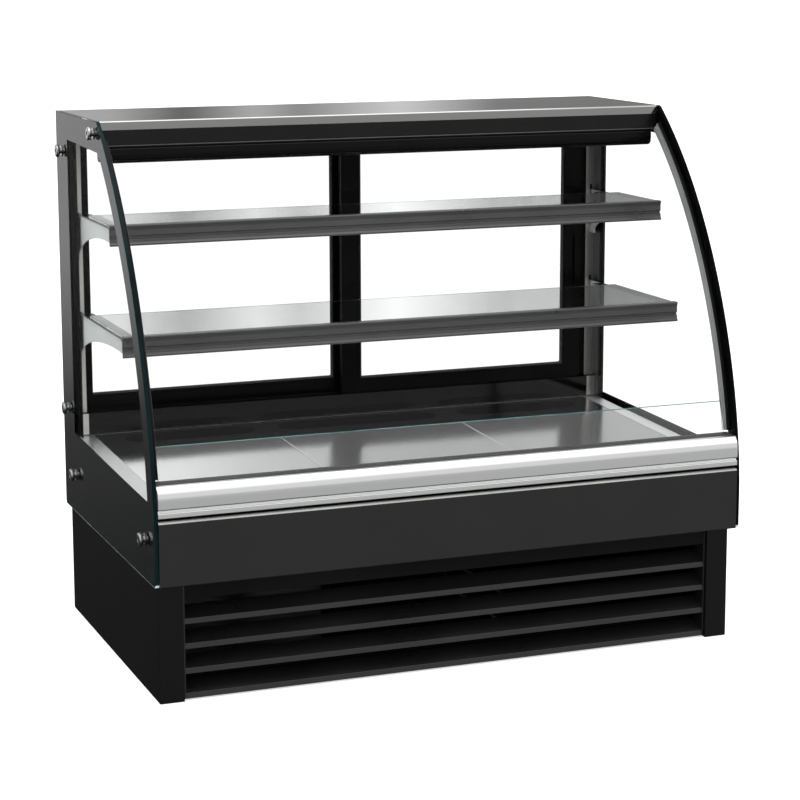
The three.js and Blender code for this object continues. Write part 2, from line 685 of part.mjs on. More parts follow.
function shelfBracket({ front, top }) {
  const { noseDepth, noseLength, heelDepth, heelLength, flange } = BRACKET;
  const flangeTop = top - SHELF_GLASS - GAP;
  const start = front + RAIL_DEPTH + 1;
  const heel = BRACKET_REAR - heelLength;
  const nose = start + noseLength;
  const web = new THREE.Shape();
  web.moveTo(start, flangeTop);
  web.lineTo(start, flangeTop - noseDepth);
  web.lineTo(nose, flangeTop - noseDepth);
  web.bezierCurveTo(nose + 44, flangeTop - 30, heel - 68, flangeTop - 34, heel, flangeTop - 92);
  web.lineTo(heel, flangeTop - heelDepth);
  web.lineTo(BRACKET_REAR, flangeTop - heelDepth);
  web.lineTo(BRACKET_REAR, flangeTop);
  web.closePath();
  const { inner, outer } = BRACKET_WEB;
  const ledge = box(BRACKET_FLANGE.inner, BRACKET_FLANGE.outer, start, STRIP_WING_FRONT - 2,
    flangeTop - flange, flangeTop);
  const hooks = HOOK_STEPS.map((step) => {
    const z = hookZ(top) + 1 + step * SLOT_PITCH;
    return box(inner, outer, BRACKET_REAR - 6, STRIP.rear - GAP, z, z + TAB_HEIGHT);
  });
  return joined(alongX(web, inner, outer, 8), ledge, ...hooks);
}

// Price rail: a label groove above a rolled lip, clipped on the front edge of the shelf glass.
function priceRail({ front, top }) {
  const back = front + RAIL_DEPTH;
  const low = top - RAIL_HEIGHT;
  return alongX(outline([
    [back, top], [front + 1.5, top], [front, top - 2], [front + 2.5, top - 12], [front + 2, top - 23],
    [front + 5, top - 25], [front + 5, top - 29], [front + 2, top - 31], [front + 1.5, top - 37],
    [front - 1.5, low + 3], [front, low], [front + 4, low], [front + 5.5, low + 9],
    [front + 8, top - 24], [front + 8, top - 9], [back, top - 9],
  ]), -RAIL_HALF, RAIL_HALF);
}

function addShelves() {
  for (const [name, shelf] of Object.entries(SHELVES)) {
    const { front, top, glassRear } = shelf;
    const glass = box(-SHELF_HALF, SHELF_HALF, front + RAIL_DEPTH + GAP, glassRear, top - SHELF_GLASS, top);
    add(`${name}_price_rail`, priceRail(shelf), colours.greyProfile);
    add(`${name}_shelf_glass`, glass, colours.clearGlass);
    addPair(`${name}_shelf_bracket`, shelfBracket(shelf), colours.steel);
  }
}

// Rear doorway.
const INNER_TRACK = 313.5;
const OUTER_TRACK = 347;
const CHANNELS = { innerFront: 310, innerRear: 335, outerFront: 343, outerRear: 368 };

function rearJamb() {
  const wall = 8;
  const bottom = SILL.top + GAP;
  const top = HEAD.bottom - GAP;
  const pocketFront = OUTER_TRACK - 2;
  const pocketRear = OUTER_TRACK + DOOR_THICKNESS + 2;
  const body = box(JAMB_INNER, JAMB_OUTER, STRIP.rear + GAP, SILL.rear, bottom, top);
  return cut(body, box(JAMB_INNER - 5, JAMB_OUTER - wall, pocketFront, pocketRear, bottom - 5, top + 5));
}

function doorSill() {
  const { front, rear, bottom, floor, top } = SILL;
  const { innerFront, innerRear, outerFront, outerRear } = CHANNELS;
  return alongX(outline([
    [front, bottom], [rear, bottom], [rear, top], [outerRear, top], [outerRear, floor],
    [outerFront, floor], [outerFront, top], [innerRear, top], [innerRear, floor], [innerFront, floor],
    [innerFront, top], [front, top],
  ]), -JAMB_OUTER, JAMB_OUTER);
}

function doorHead() {
  const { bottom, roof, top } = HEAD;
  const { innerFront, innerRear, outerFront, outerRear } = CHANNELS;
  return alongX(outline([
    [SILL.front, bottom], [innerFront, bottom], [innerFront, roof], [innerRear, roof],
    [innerRear, bottom], [outerFront, bottom], [outerFront, roof], [outerRear, roof],
    [outerRear, bottom], [SILL.rear, bottom], [SILL.rear, top], [SILL.front, top],
  ]), -JAMB_OUTER, JAMB_OUTER);
}

// A framed glass door. span is its width in X, and clear is the glass that shows between its stiles.
function addDoor(side, span, clear, y0) {
  const { bottom, top } = DOOR_CLEAR;
  const frame = outline([
    [span[0], DOOR_BOTTOM], [span[1], DOOR_BOTTOM], [span[1], DOOR_TOP], [span[0], DOOR_TOP],
  ]);
  frame.holes.push(outline([
    [clear[0], bottom], [clear[0], top], [clear[1], top], [clear[1], bottom],
  ]));
  const middle = y0 + DOOR_THICKNESS / 2;
  const paneOf = (bite, half) => box(
    clear[0] - bite, clear[1] + bite, middle - half, middle + half, bottom - bite, top + bite);
  const groove = paneOf(PANE_BITE + GAP, PANE / 2 + GAP);
  const framed = cut(alongY(frame, y0, y0 + DOOR_THICKNESS), groove);
  add(`door_${side}_frame`, framed, colours.blackPaint);
  add(`door_${side}_glass`, paneOf(PANE_BITE, PANE / 2), colours.clearGlass);
}

// Top of the case.
function topPlate() {
  const skin = 2;
  const front = TOP_PLATE_FRONT;
  const low = TOP_PLATE_BOTTOM;
  return alongX(outline([
    [front, low], [front + skin, low], [front + skin, HEIGHT - skin], [GLASS_REAR - skin, HEIGHT - skin],
    [GLASS_REAR - skin, low], [GLASS_REAR, low], [GLASS_REAR, HEIGHT], [front + 1, HEIGHT],
    [front, HEIGHT - 1],
  ]), -BETWEEN_GLASSES, BETWEEN_GLASSES);
}

function canopyFascia() {
  const top = TOP_PLATE_BOTTOM - GAP;
  const front = TOP_PLATE_FRONT;
  return alongX(outline([
    [front, FASCIA_BOTTOM], [LAMP.rear, FASCIA_BOTTOM], [LAMP.rear, FASCIA_BOTTOM + SHEET],
    [front + SHEET, FASCIA_BOTTOM + SHEET], [front + SHEET, top], [front, top],
  ]), -BETWEEN_GLASSES, BETWEEN_GLASSES);
}

// Rounded lamp housing under the front edge of the canopy, with a slot for the light.
function lampHousing() {
  const top = FASCIA_BOTTOM - GAP;
  const { half, front, rear, slotFront, slotRear, slotDepth, rearRadius } = LAMP;
  const shape = new THREE.Shape();
  shape.moveTo(front + 5, top);
  shape.lineTo(front + 5, top - 5);
  shape.lineTo(front, top - 9);
  shape.lineTo(front, top - 23);
  shape.quadraticCurveTo(front + 1, LAMP_BOTTOM, front + 17, LAMP_BOTTOM);
  shape.lineTo(slotFront, LAMP_BOTTOM);
  shape.lineTo(slotFront, LAMP_BOTTOM + slotDepth);
  shape.lineTo(slotRear, LAMP_BOTTOM + slotDepth);
  shape.lineTo(slotRear, LAMP_BOTTOM);
  shape.lineTo(rear - rearRadius, LAMP_BOTTOM);
  shape.quadraticCurveTo(rear, LAMP_BOTTOM, rear, LAMP_BOTTOM + rearRadius);
  shape.lineTo(rear, top);
  shape.closePath();
  return alongX(shape, -half, half, 6);
}

function ledDiffuser() {
  const { half, slotFront, slotRear, slotDepth } = LAMP;
  return box(20 - half, half - 20, slotFront + GAP, slotRear - GAP, LAMP_BOTTOM + 0.5,
    LAMP_BOTTOM + slotDepth - GAP);
}

// Assembly.
addPair('base_runner', baseRunner(), colours.blackPaint);
add('chassis_tray', chassisTray(), colours.blackPaint);
addPair('plinth_side', plinthSide(), colours.plinthPaint);
add('louvre_grille', louvreGrille(), colours.plinthPaint);
addCondensingUnit();
add('compressor', compressor(), colours.blackPaint);
add('rear_service_panel', rearServicePanel(), colours.blackPaint);
add('temperature_controller', temperatureController(), colours.blackPlastic);
add('power_switch', powerSwitch(), colours.blackPlastic);
add('front_skirt', frontSkirt(), colours.blackPaint);
add('bumper_profile', bumperProfile(), colours.aluminium);
add('low_front_glass', lowFrontGlass(), colours.clearGlass);
add('glass_seal', glassSeal(), colours.rubber);
add('insulated_tub', insulatedTub(), colours.liner);
addEvaporator();
addDeckTrays();
addPair('side_glass', sideGlass(), colours.clearGlass);
addStuds();
addPair('edge_profile', edgeProfile(), colours.greyProfile);
addPair('shelf_strip', shelfStrip(), colours.steel);
addShelves();
addPair('rear_jamb', rearJamb(), colours.blackPaint);
add('door_track_bottom', doorSill(), colours.blackPaint);
add('door_track_top', doorHead(), colours.blackPaint);
addDoor('left', [-634, 26], [-606, -20], OUTER_TRACK);
addDoor('right', [-11, 604], [35, 562], INNER_TRACK);
add('top_plate', topPlate(), colours.steel);
add('canopy_fascia', canopyFascia(), colours.blackPaint);
add('lamp_housing', lampHousing(), colours.blackPlastic);
add('led_diffuser', ledDiffuser(), colours.lamp);

export default group;
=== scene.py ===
"""The looks of a refrigerated deli case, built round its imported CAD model.

The pieces are drawn in millimetres. X runs to the right, and the customer stands on the -Y side.
"""
import math

import bmesh
import bpy
from mathutils import Matrix, Vector


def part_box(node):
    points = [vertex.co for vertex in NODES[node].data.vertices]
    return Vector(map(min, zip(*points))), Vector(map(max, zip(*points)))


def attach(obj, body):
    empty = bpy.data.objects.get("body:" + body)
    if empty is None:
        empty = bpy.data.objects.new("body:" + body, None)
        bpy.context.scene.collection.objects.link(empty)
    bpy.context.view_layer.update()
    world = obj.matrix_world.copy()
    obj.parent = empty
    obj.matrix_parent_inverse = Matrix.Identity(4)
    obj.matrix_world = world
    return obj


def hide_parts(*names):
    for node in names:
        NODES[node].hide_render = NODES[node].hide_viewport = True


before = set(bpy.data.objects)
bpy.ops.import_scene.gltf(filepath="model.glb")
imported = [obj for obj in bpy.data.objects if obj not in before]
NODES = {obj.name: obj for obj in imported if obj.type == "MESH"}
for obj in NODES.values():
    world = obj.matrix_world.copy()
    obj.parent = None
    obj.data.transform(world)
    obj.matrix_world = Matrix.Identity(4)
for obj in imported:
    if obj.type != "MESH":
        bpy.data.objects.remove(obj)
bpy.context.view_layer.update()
SIDES = {"left": -1, "right": 1}
MM = 0.001
SMOOTH_ANGLE = math.radians(32)
GRAIN_MAP = "grain"
NOISE_CUT = (0.3, 0.7)
WHOLE = (0, 1)


# ------ measuring the frame

class Span:
    """A CAD node's box in millimetres."""

    def __init__(self, node):
        low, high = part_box(node)
        self.x0, self.y0, self.z0 = (round(v / MM, 3) for v in low)
        self.x1, self.y1, self.z1 = (round(v / MM, 3) for v in high)


# ------ mesh building

def fillet(points, steps=5):
    """A closed outline from corners (a, b, radius): each corner is rounded by its radius."""
    rounded = []
    for i, (a, b, radius) in enumerate(points):
        corner = Vector((a, b))
        if radius <= 0:
            rounded.append((a, b))
            continue
        back = Vector(points[i - 1][:2]) - corner
        ahead = Vector(points[(i + 1) % len(points)][:2]) - corner
        half = back.angle(ahead) / 2
        reach = min(radius / math.tan(half), 0.49 * back.length, 0.49 * ahead.length)
        true_radius = reach * math.tan(half)
        middle = (back.normalized() + ahead.normalized()).normalized()
        centre = corner + middle * (true_radius / math.sin(half))
        start = corner + back.normalized() * reach - centre
        end = corner + ahead.normalized() * reach - centre
        sweep = math.atan2(start.x * end.y - start.y * end.x, start.dot(end))
        for k in range(steps + 1):
            turn = sweep * k / steps
            c, s = math.cos(turn), math.sin(turn)
            at = centre + Vector((start.x * c - start.y * s, start.x * s + start.y * c))
            rounded.append((at.x, at.y))
    return rounded


def rectangle(a0, a1, b0, b1, radius=0.0, steps=4):
    """A rectangle's outline, with rounded corners."""
    return fillet([(a0, b0, radius), (a1, b0, radius), (a1, b1, radius), (a0, b1, radius)], steps)


def circle(a, b, radius, steps=24):
    turns = [2 * math.pi * i / steps for i in range(steps)]
    return [(a + radius * math.cos(t), b + radius * math.sin(t)) for t in turns]


def bezier(points, t):
    """A point on a cubic curve in a plane, and the direction of the curve there."""
    a, b, c, d = (Vector(p) for p in points)
    s = 1 - t
    at = a * s ** 3 + b * (3 * s * s * t) + c * (3 * s * t * t) + d * t ** 3
    slope = (b - a) * (s * s) + (c - b) * (2 * s * t) + (d - c) * (t * t)
    return at, slope.normalized()


def put(axis, along, a, b):
    """A point from its place along an axis and its two other coordinates, in X, Y, Z order."""
    place = [a, b]
    place.insert("xyz".index(axis), along)
    return Vector(place)


class Shape:
    """Collects closed bodies in millimetres and turns them into one piece."""

    def __init__(self):
        self.bm = bmesh.new()

    def _faces(self, verts, faces, slot=0):
        made = [self.bm.verts.new(v) for v in verts]
        for f in faces:
            face = self.bm.faces.new([made[i] for i in f])
            face.material_index = slot

    def extrude(self, outline, axis, start, end, slot=0):
        """An outline drawn out along an axis."""
        n = len(outline)
        verts = [put(axis, start, *p) for p in outline] + [put(axis, end, *p) for p in outline]
        faces = [tuple(range(n)), tuple(reversed(range(n, 2 * n)))]
        faces += [(i, n + i, n + (i + 1) % n, (i + 1) % n) for i in range(n)]
        self._faces(verts, faces, slot)
        return self

    def box(self, x0, x1, y0, y1, z0, z1, slot=0, radius=0.0):
        return self.extrude(rectangle(y0, y1, z0, z1, radius), "x", x0, x1, slot)

    def plate(self, loops, axis, start, end, slot=0, edge_slot=None):
        """A flat sheet with holes: the first loop is its outline and the rest are holes."""
        flat = bmesh.new()
        for loop in loops:
            ring = [flat.verts.new(put(axis, start, *p)) for p in loop]
            for i, v in enumerate(ring):
                flat.edges.new((v, ring[(i + 1) % len(ring)]))
        bmesh.ops.triangle_fill(flat, use_beauty=True, use_dissolve=False, edges=flat.edges[:])
        turned = bmesh.ops.extrude_face_region(flat, geom=flat.faces[:])
        shift = put(axis, end - start, 0, 0)
        bmesh.ops.translate(
            flat, vec=shift, verts=[v for v in turned["geom"] if isinstance(v, bmesh.types.BMVert)])
        flat.verts.index_update()
        made = [self.bm.verts.new(v.co) for v in flat.verts]
        along = "xyz".index(axis)
        for face in flat.faces:
            places = [v.co[along] for v in face.verts]
            on_edge = edge_slot is not None and max(places) - min(places) > 1e-6
            copy = self.bm.faces.new([made[v.index] for v in face.verts])
            copy.material_index = edge_slot if on_edge else slot
        flat.free()
        return self

    def rings(self, loops):
        """A skin through loops of points, each loop the same length, with flat ends."""
        n = len(loops[0])
        verts = [Vector(p) for loop in loops for p in loop]
        faces = []
        for k in range(len(loops) - 1):
            a, b = k * n, (k + 1) * n
            faces += [(a + i, a + (i + 1) % n, b + (i + 1) % n, b + i) for i in range(n)]
        faces += [tuple(reversed(range(n))), tuple(range((len(loops) - 1) * n, len(loops) * n))]
        self._faces(verts, faces)
        return self

    def lathe(self, profile, axis, centre, steps):
        """A profile of (radius, distance along the axis), from radius 0 to radius 0, turned about an axis."""
        centre = Vector(centre)
        verts, rows = [], []
        for radius, along in profile:
            if radius == 0:
                rows.append([len(verts)])
                verts.append(centre + put(axis, along, 0, 0))
                continue
            rows.append(list(range(len(verts), len(verts) + steps)))
            verts += [centre + put(axis, along, *p) for p in circle(0, 0, radius, steps)]
        faces = []
        for low, high in zip(rows, rows[1:]):
            for i in range(steps):
                j = (i + 1) % steps
                corners = [row[k % len(row)] for row, k in ((low, i), (low, j), (high, j), (high, i))]
                faces.append(tuple(dict.fromkeys(corners)))
        self._faces(verts, faces)
        return self

    def tube(self, path, radius, sides=12):
        """A round tube along a list of points."""
        points = [Vector(p) for p in path]
        loops = []
        side = (points[1] - points[0]).orthogonal()
        for i, at in enumerate(points):
            ahead = points[min(i + 1, len(points) - 1)] - points[max(i - 1, 0)]
            ahead.normalize()
            side = (side - ahead * side.dot(ahead)).normalized()
            up = ahead.cross(side)
            loops.append([at + side * a + up * b for a, b in circle(0, 0, radius, sides)])
        return self.rings(loops)

    def mark(self, slot, chosen):
        """Gives a material slot to the faces that a test of the face and its middle chooses."""
        for face in self.bm.faces:
            face.normal_update()
            if chosen(face, face.calc_center_median()):
                face.material_index = slot
        return self

    def build(self, name, body, materials, replaces=None, record_slot=None, bevel=0.0, grain="x"):
        """Makes the piece, in metres, and rides it on its body."""
        bm = self.bm
        bmesh.ops.remove_doubles(bm, verts=bm.verts[:], dist=1e-4)
        bmesh.ops.recalc_face_normals(bm, faces=bm.faces[:])
        if bevel:
            sharp = [
                e for e in bm.edges if len(e.link_faces) == 2 and e.calc_face_angle(0) > SMOOTH_ANGLE]
            bmesh.ops.bevel(
                bm, geom=sharp, offset=bevel, offset_type="OFFSET", segments=2, profile=0.5,
                affect="EDGES", clamp_overlap=True)
        bmesh.ops.transform(bm, matrix=Matrix.Scale(MM, 4), verts=bm.verts[:])
        for face in bm.faces:
            face.smooth = True
        for edge in bm.edges:
            edge.smooth = len(edge.link_faces) == 2 and edge.calc_face_angle(0) < SMOOTH_ANGLE
        grain_uv(bm, grain)
        mesh = bpy.data.meshes.new(name)
        bm.to_mesh(mesh)
        bm.free()
        piece = bpy.data.objects.new(name, mesh)
        bpy.context.scene.collection.objects.link(piece)
        for material in materials if isinstance(materials, (list, tuple)) else [materials]:
            mesh.materials.append(material)
        even = piece.modifiers.new("even_normals", "WEIGHTED_NORMAL")
        even.keep_sharp = True
        even.weight = 100
        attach(piece, body)
        if replaces:
            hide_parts(replaces)
        return piece


def bar(span, corners, steps):
    """An outline with rounded corners, drawn along X over the whole width of a box."""
    return Shape().extrude(fillet(corners, steps), "x", span.x0, span.x1)


def grain_uv(bm, grain):
    """A UV map whose U runs along the grain, for the brushed metals' tangent."""
    layer = bm.loops.layers.uv.new(GRAIN_MAP)
    first = "xyz".index(grain)
    others = [i for i in range(3) if i != first]
    for face in bm.faces:
        across = others[0] if abs(face.normal[others[1]]) > abs(face.normal[others[0]]) else others[1]
        along = first
        if abs(face.normal[first]) > 0.8:
            along, across = others
        for loop in face.loops:
            loop[layer].uv = (loop.vert.co[along], loop.vert.co[across])


def dress(node, material, bevel):
    """Gives a CAD node its material and fine rounded edges."""
    piece = NODES[node]
    mesh = piece.data
    mesh.materials.clear()
    mesh.materials.append(material)
    for polygon in mesh.polygons:
        polygon.use_smooth = False
        polygon.material_index = 0
    if bevel:
        weld = piece.modifiers.new("weld", "WELD")
        weld.merge_threshold = 1e-5
        edge = piece.modifiers.new("edge", "BEVEL")
        edge.width = bevel * MM
        edge.segments = 2
        edge.limit_method = "ANGLE"
        edge.angle_limit = math.radians(40)
    return piece


# ------ materials

class Nodes:
    """A node tree. The methods add nodes and give their outputs, to be fed to other nodes."""

    def __init__(self, tree):
        self.tree = tree

    def add(self, kind):
        return self.tree.nodes.new(f"ShaderNode{kind}")

    def feed(self, socket, value):
        """Sets a socket to a number, or links an output to it."""
        if isinstance(value, (int, float)):
            socket.default_value = value
        else:
            self.tree.links.new(value, socket)

    def noise(self, scale, stretch=(1, 1, 1), detail=4.0):
        """Noise in the piece's own space. It is long along an axis whose stretch is small."""
        place, mapping, noise = self.add("TexCoord"), self.add("Mapping"), self.add("TexNoise")
        mapping.inputs["Scale"].default_value = stretch
        noise.inputs["Scale"].default_value = scale
        noise.inputs["Detail"].default_value = detail
        self.feed(mapping.inputs["Vector"], place.outputs["Object"])
        self.feed(noise.inputs["Vector"], mapping.outputs["Vector"])
        return noise.outputs["Fac"]

    def spread(self, source, low, high, cut=NOISE_CUT):
        """Maps the part of a value between the two cuts to a range."""
        ranged = self.add("MapRange")
        sockets = ("Value", "From Min", "From Max", "To Min", "To Max")
        for socket, value in zip(sockets, (source, *cut, low, high)):
            self.feed(ranged.inputs[socket], value)
        return ranged.outputs["Result"]

    def mix(self, factor, a, b):
        node = self.add("Mix")
        for socket, value in (("Factor", factor), ("A", a), ("B", b)):
            self.feed(node.inputs[socket], value)
        return node.outputs["Result"]

    def maths(self, operation, *values):
        node = self.add("Math")
        node.operation = operation
        for socket, value in zip(node.inputs, values):
            self.feed(socket, value)
        return node.outputs["Value"]

    def ramp(self, source, stops):
        """A brightness by a value: stops are (value, brightness)."""
        node = self.add("FloatCurve")
        low, high = stops[0][0], stops[-1][0]
        tallest = max(brightness for _, brightness in stops)
        curve = node.mapping.curves[0]
        curve.points[0].location = (0, stops[0][1] / tallest)
        curve.points[-1].location = (1, stops[-1][1] / tallest)
        for value, brightness in stops[1:-1]:
            curve.points.new((value - low) / (high - low), brightness / tallest)
        for point in curve.points:
            point.handle_type = "VECTOR"
        node.mapping.update()
        self.feed(node.inputs["Value"], self.spread(source, 0, 1, (low, high)))
        return self.spread(node.outputs["Value"], 0, tallest, WHOLE)

    def mixed_shader(self, factor, first, second, output):
        """Mixes two shaders into an output node."""
        node = self.add("MixShader")
        for socket, source in zip(node.inputs, (factor, first, second)):
            self.feed(socket, source)
        self.feed(self.tree.nodes[output].inputs["Surface"], node.outputs["Shader"])


class Finish(Nodes):
    """A material, wired round its principled shader."""

    def __init__(self, name):
        self.material = bpy.data.materials.new(name)
        self.material.use_nodes = True
        super().__init__(self.material.node_tree)
        self.shader = self.tree.nodes["Principled BSDF"]

    def set(self, socket, value):
        self.shader.inputs[socket].default_value = value

    def gloss(self, source, low, high, cut=NOISE_CUT):
        """Varies the roughness between two values."""
        self.feed(self.shader.inputs["Roughness"], self.spread(source, low, high, cut))

    def tint(self, source, colour, dark, light, cut=NOISE_CUT):
        """Varies the colour between two of its own shades, given as factors."""
        shades = self.add("Mix")
        shades.data_type = "RGBA"
        for socket, factor in (("A", dark), ("B", light)):
            shades.inputs[socket].default_value = (*(min(1.0, c * factor) for c in colour), 1)
        self.feed(shades.inputs["Factor"], self.spread(source, 0, 1, cut))
        self.feed(self.shader.inputs["Base Color"], shades.outputs["Result"])

    def bump(self, source, depth, strength):
        bump = self.add("Bump")
        bump.inputs["Strength"].default_value = strength
        bump.inputs["Distance"].default_value = depth
        self.feed(bump.inputs["Height"], source)
        self.feed(self.shader.inputs["Normal"], bump.outputs["Normal"])


def paint(name, colour, roughness=0.25, specular=0.5, peel=0.00006):
    """Powder coat or gloss paint: fine orange peel, and a little uneven gloss."""
    coat = Finish(name)
    patches = coat.noise(5, detail=5)
    if peel:
        coat.bump(coat.noise(420, detail=2), peel, 0.5)
    coat.gloss(patches, roughness * 0.85, roughness * 1.2)
    coat.tint(patches, colour, 0.85, 1.15)
    coat.set("Specular IOR Level", specular)
    return coat.material


def moulded(name, colour, roughness=0.45, grain_depth=0.00005, specular=0.5):
    """Moulded plastic or rubber with a fine surface grain."""
    skin = Finish(name)
    patches = skin.noise(12, detail=3)
    skin.bump(skin.noise(900, detail=3), grain_depth, 0.6)
    skin.gloss(patches, roughness * 0.85, roughness * 1.15)
    skin.tint(patches, colour, 0.88, 1.12)
    skin.set("Specular IOR Level", specular)
    return skin.material


def brushed(name, colour, roughness, grain, anisotropy=0.7, depth=0.000004, streak=1.0):
    """Brushed metal. Long fine streaks run along the grain and vary its gloss and tone."""
    metal = Finish(name)
    long, longish = ([part if axis == grain else 1.0 for axis in "xyz"] for part in (0.012, 0.1))
    fine, broad = metal.noise(900, long, detail=3), metal.noise(9, longish, detail=5)
    metal.set("Metallic", 1.0)
    metal.set("Anisotropic", anisotropy)
    tangent = metal.add("Tangent")
    tangent.direction_type = "UV_MAP"
    tangent.uv_map = GRAIN_MAP
    metal.feed(metal.shader.inputs["Tangent"], tangent.outputs["Tangent"])
    streaks = metal.mix(0.4, fine, broad)
    metal.gloss(streaks, roughness * (1 - 0.25 * streak), roughness * (1 + 0.3 * streak))
    metal.tint(streaks, colour, 1 - 0.1 * streak, 1 + 0.06 * streak)
    if depth:
        metal.bump(fine, depth, 0.5)
    return metal.material


def polished(name, colour, roughness=0.12):
    """Polished or plated metal with faint wear."""
    metal = Finish(name)
    wear = metal.noise(60, detail=6)
    metal.set("Metallic", 1.0)
    metal.gloss(wear, roughness * 0.7, roughness * 1.6)
    metal.tint(wear, colour, 0.9, 1.0)
    return metal.material


def galvanised(name, colour):
    """Zinc-coated sheet: patchy crystals of slightly different tone."""
    sheet = Finish(name)
    cells = sheet.add("TexVoronoi")
    cells.inputs["Scale"].default_value = 90
    sheet.feed(cells.inputs["Vector"], sheet.add("TexCoord").outputs["Object"])
    sheet.set("Metallic", 1.0)
    sheet.tint(cells.outputs["Color"], colour, 0.8, 1.1, WHOLE)
    sheet.gloss(cells.outputs["Color"], 0.35, 0.55, WHOLE)
    return sheet.material


def clear_glass(name, colour, ior=1.5):
    """Clear glass with very faint smears. Shadow rays go straight through it."""
    glass = Finish(name)
    glass.set("Base Color", (*colour, 1))
    glass.set("Transmission Weight", 1.0)
    glass.set("IOR", ior)
    glass.gloss(glass.noise(3, (1, 1, 0.3), detail=6), 0, 0.012, (0.5, 0.8))
    clear = glass.add("BsdfTransparent")
    clear.inputs["Color"].default_value = (*colour, 1)
    in_shadow = glass.add("LightPath").outputs["Is Shadow Ray"]
    glass.mixed_shader(in_shadow, glass.shader.outputs["BSDF"], clear.outputs["BSDF"], "Material Output")
    return glass.material


def glass_edge(name, colour, specular=0.25):
    """The ground and polished edge of a pane, tinted by the depth of glass behind it."""
    edge = Finish(name)
    bands = edge.noise(30, (1, 1, 0.25), detail=4)
    edge.tint(bands, colour, 0.6, 1.5)
    edge.gloss(bands, 0.072, 0.18)
    edge.set("Specular IOR Level", specular)
    return edge.material


BLACK = paint("black_paint", (0.0015, 0.0015, 0.0016), 0.2, specular=0.1)
FASCIA = paint("fascia_paint", (0.004, 0.004, 0.004), 0.22, specular=0.3)
SKIRT_PAINT = paint("skirt_paint", (0.008, 0.0083, 0.0082), 0.22, specular=0.4)
# A pale grey paint on the skirt's top fillet: a painted highlight along the edge.
SKIRT_HIGHLIGHT = paint("skirt_painted_highlight", (0.36, 0.36, 0.35), 0.3, peel=0)
PLINTH = paint("plinth_paint", (0.0015, 0.0015, 0.0016), 0.3, specular=0.25)
GRILLE = paint("grille_paint", (0.006, 0.006, 0.006), 0.3, specular=0.6)
SILL_BLACK = paint("sill_gloss", (0.002, 0.002, 0.002), 0.08, specular=0.3, peel=0.00001)
# A duller dark paint for the plinth's flat sides, and on the grille's top rail as painted shade under the
# skirt.
MATT_AND_SHADE_PAINT = paint("plinth_matt_and_painted_shade", (0.005, 0.005, 0.005), 0.5, specular=0.03)
# Near-black paint: partly the machine parts' own black, and painted shade in the tray holes, the tub below
# the deck and inside the plinth.
INSIDE_BLACK_AND_SHADE = paint("machine_black_and_painted_shade", (0.0006, 0.0006, 0.0006), 0.5, specular=0.05)
ENAMEL_BACK = paint("black_enamel", (0.002, 0.002, 0.002), 0.3, specular=0.12)
ENAMEL_FACE = paint("enamel_through_glass", (0.003, 0.0034, 0.0033), 0.04, peel=0)
PLASTIC = moulded("black_plastic", (0.012, 0.012, 0.0125), 0.4)
HOUSING = moulded("lamp_housing_plastic", (0.0012, 0.0012, 0.0012), 0.2, 0.000005, 0.2)
RUBBER = moulded("seal_rubber", (0.03, 0.03, 0.031), 0.6)
OPAL = moulded("lamp_diffuser", (0.85, 0.85, 0.82), 0.5)
RAIL = paint("grey_profile", (0.036, 0.037, 0.036), 0.3, specular=0.6, peel=0)
STRIP_GREY = paint("curved_profile", (0.2, 0.205, 0.205), 0.35, specular=0.3, peel=0)
# A mid-grey paint for the thin strip under the fascia, a painted highlight line.
LIP_HIGHLIGHT_GREY = paint("fascia_lip_painted_highlight", (0.1, 0.1, 0.1), 0.3, peel=0)
ALUMINIUM = brushed("bright_aluminium", (0.86, 0.87, 0.865), 0.3, "x", 0.5, streak=0.25)
DECK_STEEL = brushed("deck_stainless", (0.66, 0.665, 0.66), 0.13, "x", 0.8, depth=0, streak=0.2)
LEDGE_STEEL = brushed("ledge_stainless", (0.7, 0.71, 0.705), 0.34, "y", 0.5)
TOP_STEEL = brushed("top_stainless", (0.55, 0.55, 0.54), 0.13, "x", 0.5, depth=0, streak=0.5)
UPRIGHT_STEEL = brushed("upright_stainless", (0.7, 0.69, 0.66), 0.34, "z", 0.5, streak=0.4)
UPRIGHT_DARK = brushed("upright_wing", (0.055, 0.054, 0.057), 0.3, "z", 0.5, streak=0.4)
BRACKET_GREY = paint("bracket_grey", (0.42, 0.43, 0.43), 0.35)
CHROME = polished("screw_chrome", (0.45, 0.45, 0.46), 0.14)
COPPER = polished("copper_tube", (0.16, 0.07, 0.045), 0.4)
ZINC = galvanised("galvanised_steel", (0.3, 0.31, 0.32))
FINS = brushed("fin_aluminium", (0.6, 0.62, 0.62), 0.4, "z", 0.3)
SIDE_CLEAR = clear_glass("side_glass", (0.985, 0.995, 0.99), ior=1.01)
GLASS = clear_glass("clear_glass", (0.98, 0.99, 0.987))
SHELF_CLEAR = clear_glass("shelf_glass", (0.86, 0.868, 0.872))
EDGE_TEAL = glass_edge("side_glass_edge", (0.001, 0.008, 0.0095), specular=0.08)
# A near-black edge tint for the right pane: painted shade on the same glass as the teal left edge.
EDGE_SHADE = glass_edge("far_glass_edge_painted_shade", (0.0008, 0.0012, 0.0012), specular=0.02)
EDGE_GROUND = glass_edge("bottom_glass_edge", (0.42, 0.5, 0.53))
EDGE_DARK = glass_edge("shelf_glass_edge", (0.02, 0.03, 0.03))
# A pale grey for the shelf glass's left side face: painted light from the left.
EDGE_PAINTED_LIGHT = glass_edge("shelf_glass_side_painted_light", (0.3, 0.31, 0.31))
EDGE_BRIGHT = glass_edge("front_glass_edge", (0.05, 0.15, 0.145))


# ------ side glasses, enamel, screws

GLASS_BOX = Span("side_glass_right")
# The curved front edge's control points: (back from the glass's front, down from its top) or
# (back from its front, up from its bottom).
CURVE_FROM_TOP = ((396, 3), (96, 245))
CURVE_FROM_FOOT = ((0, 277), (0, 80))


